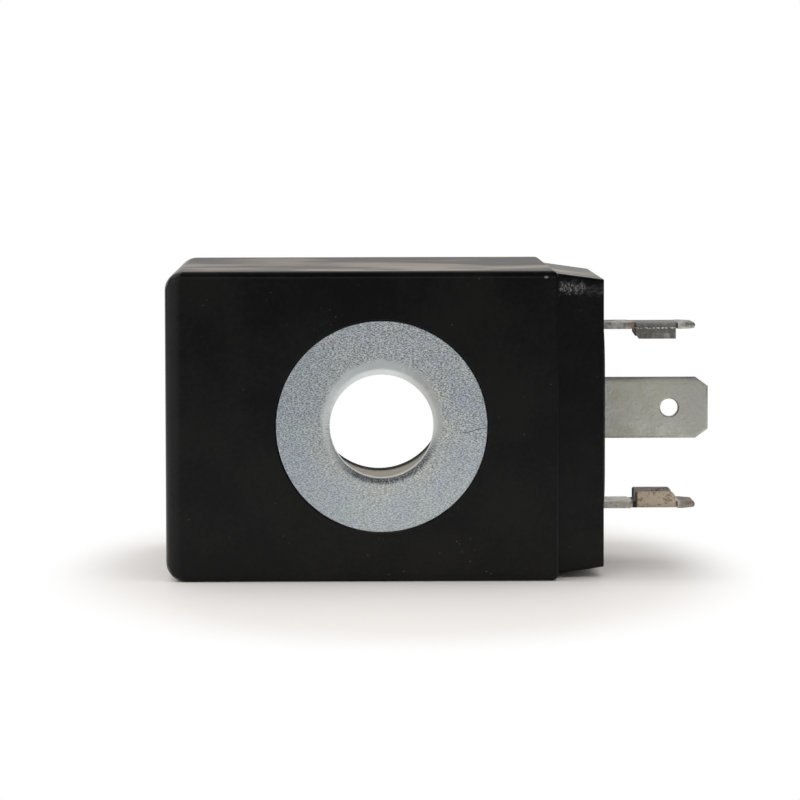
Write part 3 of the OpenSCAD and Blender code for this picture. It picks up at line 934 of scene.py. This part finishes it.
def round_off(bm, geom, radius, segments, affect):
    bmesh.ops.bevel(
        bm,
        geom=geom,
        offset=radius,
        offset_type="OFFSET",
        affect=affect,
        segments=segments,
        profile=0.5,
        clamp_overlap=True,
        material=-1,
    )


def soften(bm, edges, radius, segments=3):
    """Rounds edges off."""
    round_off(bm, edges, radius, segments, "EDGES")


def stand_for(node, name, bm, material):
    """Makes a bmesh into a piece in the place of a solid, with flat faces kept flat."""
    bmesh.ops.remove_doubles(bm, verts=bm.verts, dist=TINY)
    bmesh.ops.dissolve_limit(bm, angle_limit=SAME_PLANE, verts=bm.verts, edges=bm.edges)
    bmesh.ops.recalc_face_normals(bm, faces=bm.faces)
    open_edges = sum(not edge.is_manifold for edge in bm.edges)
    mesh = bpy.data.meshes.new(name)
    bm.to_mesh(mesh)
    bm.free()
    mesh.shade_smooth()
    mesh.set_sharp_from_angle(angle=SHARP_FROM)
    mesh.materials.append(material)
    piece = bpy.data.objects.new(name, mesh)
    put_in_scene(piece)
    flat = piece.modifiers.new("flat_faces", "WEIGHTED_NORMAL")
    flat.keep_sharp = True
    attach(piece, "root")
    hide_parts(node)
    size = [round(value / MM, 2) for value in piece.dimensions]
    print(f"{name}: {len(mesh.polygons)} faces, {open_edges} open edges, {size} mm")


soften(body, bed_rim, RIM_ROUND, segments=2)
soften(body, recess_rim, RECESS_ROUND)
stand_for("moulded_body", "body_moulding", body, body_black)

# %% [markdown]
# ## The plug base
# The base is a second moulding that holds the blades. Its sides have draft, so its end is smaller than
# its root. A low land with round corners carries the gasket of the plug, the blades stand in slots and
# the middle takes the brass insert. A square plate behind the root anchors it in the block.

# %% Tapered block and its plate
PLUG_END = 28.2 * MM
PLUG_SIDE_ROUND = 0.4 * MM
PLUG_END_ROUND = 0.12 * MM
LAND_HEIGHT = 0.35 * MM
plug_face = plug_high.x - LAND_HEIGHT


def plug_radius(edge):
    """The sides are rounder than the end, and the root stays sharp against the block."""
    ends = sorted(vert.co.x for vert in edge.verts)
    if ends[1] - ends[0] > TINY:
        return PLUG_SIDE_ROUND
    return PLUG_END_ROUND if ends[0] > body_high.x + TINY else 0


plug = bmesh.new()
plug_block = block(
    plug,
    Vector((body_high.x, plug_low.y, plug_low.z)),
    Vector((plug_face, plug_high.y, plug_high.z)),
)
draft = PLUG_END / (plug_high.y - plug_low.y)
end_verts = [vert for vert in plug_block if vert.co.x > plug_face - TINY]
to_axis = Matrix.Translation((0, -plug_y, 0))
bmesh.ops.scale(plug, vec=(1, draft, draft), space=to_axis, verts=end_verts)
plug = round_edges(plug, plug_radius, segments=5)

plate_rim = open_face(plug, flat_face(plug, PLATE_SIDE, PLATE_SIDE, across_x(body_high.x, plug_y, 0)))
fill(plug, open_face(plug, face_towards(plug, (-1, 0, 0))), plate_rim)
plate_back = push(plug, plate_rim, (plug_low.x - body_high.x, 0, 0))
print("plug base: end is", round(draft, 3), "of its root")

# %% Gasket land
LAND_SIDE = 20 * MM
LAND_RADIUS = 5 * MM
LAND_ROUND = 0.12 * MM


def round_corners(bm, verts, radius, segments):
    """Rounds the corners of a flat shape off, or cuts them with one segment."""
    round_off(bm, verts, radius, segments, "VERTICES")


def pull(bm, face, shift, keep=False):
    """Draws a face out into a solid and returns the face at its far end."""
    made = bmesh.ops.extrude_face_region(bm, geom=[face])["geom"]
    verts = [item for item in made if isinstance(item, bmesh.types.BMVert)]
    bmesh.ops.translate(bm, vec=shift, verts=verts)
    if not keep:
        bmesh.ops.delete(bm, geom=[face], context="FACES_ONLY")
    return next(item for item in made if isinstance(item, bmesh.types.BMFace))


end_outline = open_face(plug, face_towards(plug, (1, 0, 0)))
land = flat_face(plug, LAND_SIDE, LAND_SIDE, across_x(plug_face, plug_y, 0))
round_corners(plug, list(land.verts), LAND_RADIUS, segments=10)
land_middle = Vector((plug_face, plug_y, 0))
land = min(plug.faces, key=lambda face: (face.calc_center_median() - land_middle).length)
fill(plug, end_outline, list(land.edges))
land_top = pull(plug, land, (LAND_HEIGHT, 0, 0))
soften(plug, list(land_top.edges), LAND_ROUND)
print("gasket land:", round(LAND_HEIGHT / MM, 2), "mm proud of the end")

# %% Slots and bed of the insert
POWER_SHEET = 0.65 * MM
EARTH_SHEET = 0.8 * MM
upper_low, upper_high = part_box("upper_power_blade")
earth_low, earth_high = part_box("earth_blade")
insert_low, insert_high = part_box("plug_screw_insert")
blade_width = upper_high.y - upper_low.y
power_z = upper_high.z - POWER_SHEET / 2
earth_y = earth_low.y + EARTH_SHEET / 2

slot_gap = 2 * FIT_GAP
slots = [
    (plug_y, power_z, POWER_SHEET + slot_gap, blade_width + slot_gap),
    (plug_y, -power_z, POWER_SHEET + slot_gap, blade_width + slot_gap),
    (earth_y, 0, blade_width + slot_gap, EARTH_SHEET + slot_gap),
]
mouths = [
    open_face(plug, flat_face(plug, height, width, across_x(plug_high.x, y, z)))
    for y, z, height, width in slots
]
insert_rim = circle_loop(plug, insert_high.z + FIT_GAP, across_x(plug_high.x, plug_y, 0), segments=64)
fill(plug, open_face(plug, face_towards(plug, (1, 0, 0))), insert_rim, *mouths)
inner_mouths = [push(plug, mouth, (plug_low.x - plug_high.x, 0, 0)) for mouth in mouths]
fill(plug, plate_back, *inner_mouths)
fill(plug, push(plug, insert_rim, (insert_low.x - insert_high.x, 0, 0)))
stand_for("plug_base", "plug_moulding", plug, plug_black)

# %% [markdown]
# ## The flux ring
# The ring is a washer punched from thick strip. The punch rolls the strip in a little around the hole, so
# the front edge of the hole falls away in a flat arc. One cross-section, with its corners rounded, is
# spun about the bore axis, as a lathe would see it.

# %% Ring spun from its section
RING_HOLE = 10.1 * MM / 2
ROLL_WIDTH = 0.65 * MM
ROLL_DEPTH = 0.12 * MM
RING_EDGE = 0.14 * MM
roll_radius = (ROLL_WIDTH**2 + ROLL_DEPTH**2) / (2 * ROLL_DEPTH)
roll_angle = math.asin(ROLL_WIDTH / roll_radius)
roll_from = RING_HOLE + ROLL_WIDTH


def draw(bm, vert, shift):
    """Draws a straight edge from a vertex and returns the vertex at its end."""
    made = bmesh.ops.extrude_vert_indiv(bm, verts=[vert])
    bmesh.ops.translate(bm, vec=shift, verts=made["verts"])
    return made["verts"][0]


ring = bmesh.new()
roll_start = ring.verts.new((roll_from, ring_low.y, 0))
bmesh.ops.spin(
    ring,
    geom=[roll_start],
    cent=(roll_from, ring_low.y + roll_radius, 0),
    axis=(0, 0, 1),
    angle=-roll_angle,
    steps=10,
)
roll_end = min(ring.verts, key=lambda vert: vert.co.x)
hole_back = draw(ring, roll_end, (0, ring_high.y - ring_low.y - ROLL_DEPTH, 0))
rim_back = draw(ring, hole_back, (ring_high.x - RING_HOLE, 0, 0))
rim_front = draw(ring, rim_back, (0, ring_low.y - ring_high.y, 0))
bmesh.ops.contextual_create(ring, geom=[rim_front, roll_start])
bmesh.ops.contextual_create(ring, geom=ring.edges[:])
round_corners(ring, [hole_back, rim_back, rim_front], RING_EDGE, segments=3)
profile = open_face(ring, ring.faces[:][0])
bmesh.ops.spin(
    ring, geom=profile, cent=(0, 0, 0), axis=(0, 1, 0), angle=2 * math.pi, steps=160, use_merge=True
)
stand_for("front_flux_ring", "ring_plated", ring, zinc)

# %% [markdown]
# ## The bent yoke
# The yoke is a strip bent to a C: its section is drawn along one arm, turned through a bend, drawn along
# the back, turned again and drawn along the other arm. Both arms are drilled for the stem. Only the rear
# arm shows, at the bottom of the recess and as a dark band in the bore.

# %% Yoke drawn and turned
YOKE_SHEET = 3.5 * MM
YOKE_BEND = 0.8 * MM
bend_outside = YOKE_SHEET + YOKE_BEND
bend_x = yoke_low.x + bend_outside
arm_length = yoke_high.x - bend_x


def turn(bm, face, centre):
    """Turns a section a quarter round an upright axis and returns it."""
    made = bmesh.ops.spin(
        bm,
        geom=[*face.verts, *face.edges, face],
        cent=centre,
        axis=(0, 0, 1),
        angle=math.radians(90),
        steps=8,
    )
    return next(item for item in made["geom_last"] if isinstance(item, bmesh.types.BMFace))


yoke = bmesh.new()
rear_middle = across_x(yoke_high.x, yoke_high.y - YOKE_SHEET / 2, 0)
strip = flat_face(yoke, yoke_high.z - yoke_low.z, YOKE_SHEET, rear_middle)
strip = pull(yoke, strip, (-arm_length, 0, 0), keep=True)
strip = turn(yoke, strip, (bend_x, yoke_high.y - bend_outside, 0))
strip = pull(yoke, strip, (0, yoke_low.y - yoke_high.y + 2 * bend_outside, 0))
strip = turn(yoke, strip, (bend_x, yoke_low.y + bend_outside, 0))
pull(yoke, strip, (arm_length, 0, 0))
bmesh.ops.recalc_face_normals(yoke, faces=yoke.faces)
print("yoke:", len(yoke.faces), "faces before drilling")

# %% Yoke drilled
STEM_BORE = 13.2 * MM / 2
BORE_ROUND = 0.08 * MM


def drill(bm, near, far, radius, near_place, far_place, segments):
    """Opens two faces and joins the openings with a round tunnel. Returns the two rims."""
    rims = []
    for face, place in ((near, near_place), (far, far_place)):
        outline = open_face(bm, face)
        rim = circle_loop(bm, radius, place, segments)
        fill(bm, outline, rim)
        rims.append(rim)
    bmesh.ops.bridge_loops(bm, edges=rims[0] + rims[1])
    return rims


outer_rims = []
for outer, inner in ((yoke_low.y, yoke_low.y + YOKE_SHEET), (yoke_high.y, yoke_high.y - YOKE_SHEET)):
    arm_faces = []
    for y in (outer, inner):
        point = Vector(((bend_x + yoke_high.x) / 2, y, 0))
        arm_faces.append(min(yoke.faces, key=lambda f: (f.calc_center_median() - point).length))
    places = [across_y(0, y, 0) for y in (outer, inner)]
    outer_rims += drill(yoke, *arm_faces, STEM_BORE, *places, segments=128)[0]
soften(yoke, outer_rims, BORE_ROUND)
stand_for("yoke_frame", "yoke_bent", yoke, yoke_steel)

# %% [markdown]
# ## The power blades
# A power blade is cut from thin sheet, and in the middle its two sides are folded in to make a channel
# that the receptacle grips. Narrow notches at both ends of the folds let the sheet bend. The flat is cut
# to shape first, its edges are spun into the folds and drawn down, and only then does it get its
# thickness, as a real blade does. The two blades face each other: one folds down and one folds up.

# %% Flat of a power blade
CHANNEL_START = 3.5 * MM
CHANNEL_LENGTH = 4 * MM
INNER_NOTCH = 0.5 * MM
OUTER_NOTCH = 0.2 * MM
FOLD_OUTSIDE = 0.75 * MM
TAG_WIDTH = 2 * MM
channel_in = plug_high.x + CHANNEL_START
channel_out = channel_in + CHANNEL_LENGTH
notch_in = channel_in - INNER_NOTCH
notch_out = channel_out + OUTER_NOTCH


def everything(bm):
    return bm.verts[:] + bm.edges[:] + bm.faces[:]


def cut(bm, geom, point, normal, drop=False):
    """Cuts faces along a plane, and drops what lies on the side of the normal if asked."""
    bmesh.ops.bisect_plane(
        bm, geom=geom, dist=1e-8, plane_co=point, plane_no=normal, clear_outer=drop
    )


def blade_flat(bm, low, high, back):
    """The blade's flat, with the tag cut free and the sides of the channel taken away."""
    middle = (low.y + high.y) / 2
    half = (high.y - low.y) / 2
    place = Matrix.Translation(((low.x + high.x) / 2, middle, back))
    flat_face(bm, high.x - low.x, 2 * half, place)
    for x in (plug_low.x, notch_in, channel_in, channel_out, notch_out):
        cut(bm, everything(bm), (x, 0, 0), (1, 0, 0))
    for offset in (TAG_WIDTH / 2, half - FOLD_OUTSIDE):
        for way in (-1, 1):
            cut(bm, everything(bm), (0, middle + way * offset, 0), (0, 1, 0))
    waste = []
    for face in bm.faces:
        centre = face.calc_center_median()
        aside = abs(centre.y - middle)
        beside_tag = centre.x < plug_low.x and aside > TAG_WIDTH / 2
        beside_channel = notch_in < centre.x < notch_out and aside > half - FOLD_OUTSIDE
        if beside_tag or beside_channel:
            waste.append(face)
    bmesh.ops.delete(bm, geom=waste, context="FACES")
    seams = [
        edge for edge in bm.edges
        if not edge.is_boundary and all(v.co.x > notch_out - TINY for v in edge.verts)
        and abs(edge.verts[0].co.y - edge.verts[1].co.y) < TINY
    ]
    bmesh.ops.dissolve_edges(bm, edges=seams, use_verts=True)
    return middle, half


print("channel from", round(channel_in / MM, 2), "to", round(channel_out / MM, 2), "mm")

# %% Folded blades
TIP_CUT = 0.95 * MM
FLAP_CUT_ALONG = 0.3 * MM
FLAP_CUT_ACROSS = 0.45 * MM
FLAP_CORNER = 0.2 * MM
NOSE_ROUND = 0.28 * MM
BLADE_EDGE = 0.06 * MM
EDGE_ANGLE = math.radians(60)


def fold_side(bm, way, line, back, depth):
    """Spins one edge of the channel into a fold and draws it down. Returns the flap's face."""
    edge = next(
        e for e in bm.edges
        if all(abs(v.co.y - line) < TINY for v in e.verts)
        and all(channel_in - TINY < v.co.x < channel_out + TINY for v in e.verts)
        and e.is_boundary
    )
    folded = bmesh.ops.spin(
        bm,
        geom=[edge, *edge.verts],
        cent=(0, line, back - FOLD_OUTSIDE),
        axis=(-way, 0, 0),
        angle=math.radians(90),
        steps=6,
    )
    last = [item for item in folded["geom_last"] if isinstance(item, bmesh.types.BMEdge)]
    flap_edge = push(bm, last, (0, 0, FOLD_OUTSIDE - depth))[0]
    return flap_edge.link_faces[0]


def sharp_edges(bm):
    bm.normal_update()
    return [edge for edge in bm.edges if edge.calc_face_angle(0) > EDGE_ANGLE]


def power_blade(node, name, side, material):
    """One blade, made as the upper one and turned over for side -1."""
    low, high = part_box(node)
    back = high.z if side > 0 else -low.z
    depth = high.z - low.z
    bm = bmesh.new()
    middle, half = blade_flat(bm, low, high, back)
    cut_end = channel_in if side > 0 else channel_out
    for way in (-1, 1):
        flap = fold_side(bm, way, middle + way * (half - FOLD_OUTSIDE), back, depth)
        point = (cut_end + side * FLAP_CUT_ALONG, 0, back - depth)
        normal = (-side * FLAP_CUT_ACROSS, 0, -FLAP_CUT_ALONG)
        cut(bm, [flap, *flap.edges, *flap.verts], point, normal, drop=True)
    if side < 0:
        flap_corners = [v for v in bm.verts if v.co.z < back - depth + TINY]
        round_corners(bm, flap_corners, FLAP_CORNER, segments=3)
    tips = [v for v in bm.verts if v.co.x > high.x - TINY and abs(v.co.y - middle) > half - TINY]
    round_corners(bm, tips, TIP_CUT, segments=1)
    bmesh.ops.recalc_face_normals(bm, faces=bm.faces)
    top = max(bm.faces, key=lambda face: face.calc_center_median().z)
    if top.normal.z < 0:
        bmesh.ops.reverse_faces(bm, faces=bm.faces)
    bmesh.ops.solidify(bm, geom=bm.faces[:], thickness=POWER_SHEET)
    bmesh.ops.recalc_face_normals(bm, faces=bm.faces)
    nose = [
        e for e in sharp_edges(bm)
        if all(v.co.x > high.x - TIP_CUT - TINY for v in e.verts)
        and abs(e.verts[0].co.z - e.verts[1].co.z) < TINY
    ]
    soften(bm, nose, NOSE_ROUND, segments=5)
    soften(bm, sharp_edges(bm), BLADE_EDGE, segments=2)
    if side < 0:
        bmesh.ops.scale(bm, vec=(1, 1, -1), verts=bm.verts)
    stand_for(node, name, bm, material)


power_blade("upper_power_blade", "upper_blade_folded", 1, upper_tin)
power_blade("lower_power_blade", "lower_blade_folded", -1, lower_tin)

# %% [markdown]
# ## The earth blade
# The earth blade is a plain strip with cut tip corners and a snap hole. Its edges are coined, which
# leaves a shallow bevel along both faces. A thinner slab is drawn first, and each face is then inset and
# lifted, which gives the bevel in one move. A foot at the inner end turns back to the yoke.

# %% Slab with a foot
COIN_WIDTH = 0.35 * MM
COIN_DEPTH = 0.2 * MM
TIP_CUT_ALONG = 1.3 * MM
TIP_CUT_ACROSS = 0.95 * MM
earth_back = earth_low.y + EARTH_SHEET
slab_front = earth_low.y + COIN_DEPTH
slab_back = earth_back - COIN_DEPTH

earth = bmesh.new()
earth_middle = across_y((earth_low.x + earth_high.x) / 2, slab_front, 0)
flat_face(earth, earth_high.x - earth_low.x, blade_width, earth_middle)
for way in (-1, 1):
    corner = (earth_high.x - TIP_CUT_ALONG, 0, way * blade_width / 2)
    cut(earth, everything(earth), corner, (TIP_CUT_ACROSS, 0, way * TIP_CUT_ALONG), drop=True)
pull(earth, earth.faces[:][0], (0, slab_back - slab_front, 0), keep=True)
bmesh.ops.recalc_face_normals(earth, faces=earth.faces)
rear = face_towards(earth, (0, 1, 0))
cut(earth, [rear, *rear.edges, *rear.verts], (earth_low.x + EARTH_SHEET, 0, 0), (1, 0, 0))
rear_faces = [face for face in earth.faces if face.normal.y > FACING]
foot = min(rear_faces, key=lambda face: face.calc_center_median().x)
pull(earth, foot, (0, earth_high.y - slab_back, 0))
bmesh.ops.recalc_face_normals(earth, faces=earth.faces)
print("earth blade:", len(earth.faces), "faces before coining")

# %% Coined faces and snap hole
HOLE_TO_TIP = 4 * MM
HOLE_RADIUS = 0.9 * MM
REAR_RIM_ROUND = 0.05 * MM
FRONT_RIM_ROUND = 0.18 * MM
BOTH_WAYS = ((0, -1, 0), (0, 1, 0))

for direction in BOTH_WAYS:
    flat_side = face_towards(earth, direction)
    bmesh.ops.inset_region(earth, faces=[flat_side], thickness=COIN_WIDTH, depth=COIN_DEPTH)
hole_places = [across_y(earth_high.x - HOLE_TO_TIP, y, 0) for y in (earth_low.y, earth_back)]
flat_sides = [face_towards(earth, direction) for direction in BOTH_WAYS]
front_rim, rear_rim = drill(earth, *flat_sides, HOLE_RADIUS, *hole_places, segments=48)
soften(earth, front_rim, FRONT_RIM_ROUND, segments=4)
soften(earth, rear_rim, REAR_RIM_ROUND, segments=2)
stand_for("earth_blade", "earth_blade_coined", earth, earth_tin)

# %% [markdown]
# ## The threaded insert
# The screw of the plug turns into a brass insert. Its section is a plain strip with chamfered corners and
# a toothed inner edge, one tooth for each turn of the thread. It is drawn edge by edge and spun about
# the insert's own axis. That gives rings in place of a helix, which look the same in a hole this small.

# %% Insert spun from a toothed section
THREAD_CREST = 1.25 * MM
THREAD_ROOT = 1.55 * MM
THREAD_PITCH = 0.5 * MM
INSERT_EDGE = 0.2 * MM
insert_length = insert_high.x - insert_low.x
end_width = insert_high.z - INSERT_EDGE - THREAD_ROOT
thread_depth = THREAD_ROOT - THREAD_CREST
turns = round(insert_length / THREAD_PITCH)

insert = bmesh.new()
first = insert.verts.new((insert_low.x, plug_y, THREAD_ROOT))
outside = [
    (0, 0, end_width),
    (INSERT_EDGE, 0, INSERT_EDGE),
    (insert_length - 2 * INSERT_EDGE, 0, 0),
    (INSERT_EDGE, 0, -INSERT_EDGE),
    (0, 0, -end_width),
]
tooth = [(-THREAD_PITCH / 2, 0, -thread_depth), (-THREAD_PITCH / 2, 0, thread_depth)]
last = first
for shift in outside + (tooth * turns)[:-1]:
    last = draw(insert, last, shift)
bmesh.ops.contextual_create(insert, geom=[last, first])
bmesh.ops.spin(
    insert,
    geom=everything(insert),
    cent=(0, plug_y, 0),
    axis=(1, 0, 0),
    angle=2 * math.pi,
    steps=64,
    use_merge=True,
)
stand_for("plug_screw_insert", "insert_threaded", insert, insert_brass)

# %% [markdown]
# ## Floor
# The coil lies on a pale sheet. Close to the coil the sheet is lit as it is and takes the shadows.
# Further out it fades into plain white, which the bore and the metal show as well. To mirror images the
# sheet ends a little way out, and the room beyond is white behind the coil, light at its left and dark
# elsewhere, which keeps the black front black.

# %% Floor
FLOOR_SIZE = 6
FADE_CENTRE = Vector((2, -20, 0)) * MM
FADE_X = 36 * MM
FADE_Y = 70 * MM
FADE_START = 0.5
SHEET_COLOUR = (0.93, 0.895, 0.862, 1)
SHEET_ROUGHNESS = 0.6
SHEET_START = 0.08
SHEET_END = 0.3
ROOM_LEVEL = 0.12
BACK_WALL = (0.6, 0.9)
LEFT_WALL = (-0.7, -0.1)
LEFT_WALL_REAR = (0.1, 0.6)


def room_level(x, y):
    """How light the room is in a level direction: white behind, light at the left, dark elsewhere."""
    back = step(y, *BACK_WALL)
    left = (1 - step(x, *LEFT_WALL)) * (1 - step(y, *LEFT_WALL_REAR))
    return ROOM_LEVEL + (1 - ROOM_LEVEL) * (back + left)


floor_mesh = bmesh.new()
flat_face(floor_mesh, FLOOR_SIZE, FLOOR_SIZE, Matrix.Translation((0, 0, body_low.z)))
floor_data = bpy.data.meshes.new("floor")
floor_mesh.to_mesh(floor_data)
floor_mesh.free()
floor = bpy.data.objects.new("floor", floor_data)
put_in_scene(floor)

floor_sheet = bpy.data.materials.new("floor_sheet")
sheet = empty_tree(floor_sheet)
floor_x, floor_y, _ = axes(sheet.add("TexCoord", output="Object"))
away_x = (floor_x - FADE_CENTRE.x) * (1 / FADE_X)
away_y = (floor_y - FADE_CENTRE.y) * (1 / FADE_Y)
seen = sheet.add("LightPath", output="Is Camera Ray")
mirrored = sheet.add("LightPath", output="Is Glossy Ray")
fade = step(away_x * away_x + away_y * away_y, FADE_START, 1) * (seen + mirrored)
lit = sheet.add("BsdfPrincipled", inputs={"Base Color": SHEET_COLOUR, "Roughness": SHEET_ROUGHNESS})
reach = sheet.maths("SQRT", floor_x * floor_x + floor_y * floor_y)
beyond = room_level(sheet.maths("DIVIDE", floor_x, reach), sheet.maths("DIVIDE", floor_y, reach))
glow = 1 + mirrored * step(reach, SHEET_START, SHEET_END) * (beyond - 1)
plain_white = sheet.add("Emission", inputs={"Color": glow, "Strength": 1})
mixed = sheet.add("MixShader", inputs={0: fade, 1: lit, 2: plain_white})
sheet.add("OutputMaterial", inputs={"Surface": mixed})
floor_data.materials.append(floor_sheet)
print("floor at", round(body_low.z / MM, 2), "mm")

# %% [markdown]
# ## Light and backdrop
# A broad soft lamp stands behind and above the coil. A smaller one high at the left draws the light
# corner and pushes a faint shadow out to the right. The world adds an even light, a little stronger from
# the front. Mirror images see the same room as in the floor instead, with one lighter band in front,
# like a window, that draws a pale line along the upper front edge. The camera sees plain white.

# %% Lamps
LAMP_TARGET = Vector((0, -0.01, 0))


def soft_lamp(name, place, size, power):
    """A square lamp that looks at the coil."""
    lamp_data = bpy.data.lights.new(name, "AREA")
    lamp_data.shape = "SQUARE"
    lamp_data.size = size
    lamp_data.energy = power
    lamp = bpy.data.objects.new(name, lamp_data)
    lamp.location = place
    lamp.rotation_euler = (LAMP_TARGET - place).to_track_quat("-Z", "Y").to_euler()
    put_in_scene(lamp)
    print(name, power, "W at", list(place))


soft_lamp("rear_lamp", place=Vector((0, 0.26, 0.38)), size=0.4, power=0.45)
soft_lamp("side_lamp", place=Vector((-0.41, -0.02, 0.41)), size=0.2, power=0.8)

# %% Backdrop
SOFT_LEVEL = 0.84
SOFT_SLOPE = 0.25
WALL_TOP = (0.3, 0.65)
WINDOW_LEVEL = 0.8
WINDOW_SILL = (0.08, 0.2)
WINDOW_HEAD = (0.35, 0.6)
WINDOW_REAR = (-0.5, 0)
WINDOW_RIGHT = (0.1, 0.5)

world = bpy.data.worlds.new("white_backdrop")
bpy.context.scene.world = world
sky = empty_tree(world)
sky_x, sky_y, sky_z = axes(sky.add("TexCoord", output="Generated"))
low_walls = 1 - step(sky_z, *WALL_TOP)
walls = ROOM_LEVEL + low_walls * (room_level(sky_x, sky_y) - ROOM_LEVEL)
in_front = (1 - step(sky_y, *WINDOW_REAR)) * (1 - step(sky_x, *WINDOW_RIGHT))
window = in_front * step(sky_z, *WINDOW_SILL) * (1 - step(sky_z, *WINDOW_HEAD))
mirror_level = walls + WINDOW_LEVEL * window
sky_mirrored = sky.add("LightPath", output="Is Glossy Ray")
soft_level = SOFT_LEVEL - SOFT_SLOPE * sky_y
level = soft_level + sky_mirrored * (mirror_level - soft_level)
room_light = sky.add("Background", inputs={"Color": grey(1), "Strength": level})
backdrop = sky.add("Background", inputs={"Color": grey(1), "Strength": 1})
camera_sees = sky.add("LightPath", output="Is Camera Ray")
both = sky.add("MixShader", inputs={0: camera_sees, 1: room_light, 2: backdrop})
sky.add("OutputWorld", inputs={"Surface": both})
print("room at", ROOM_LEVEL, "and window at", WINDOW_LEVEL)
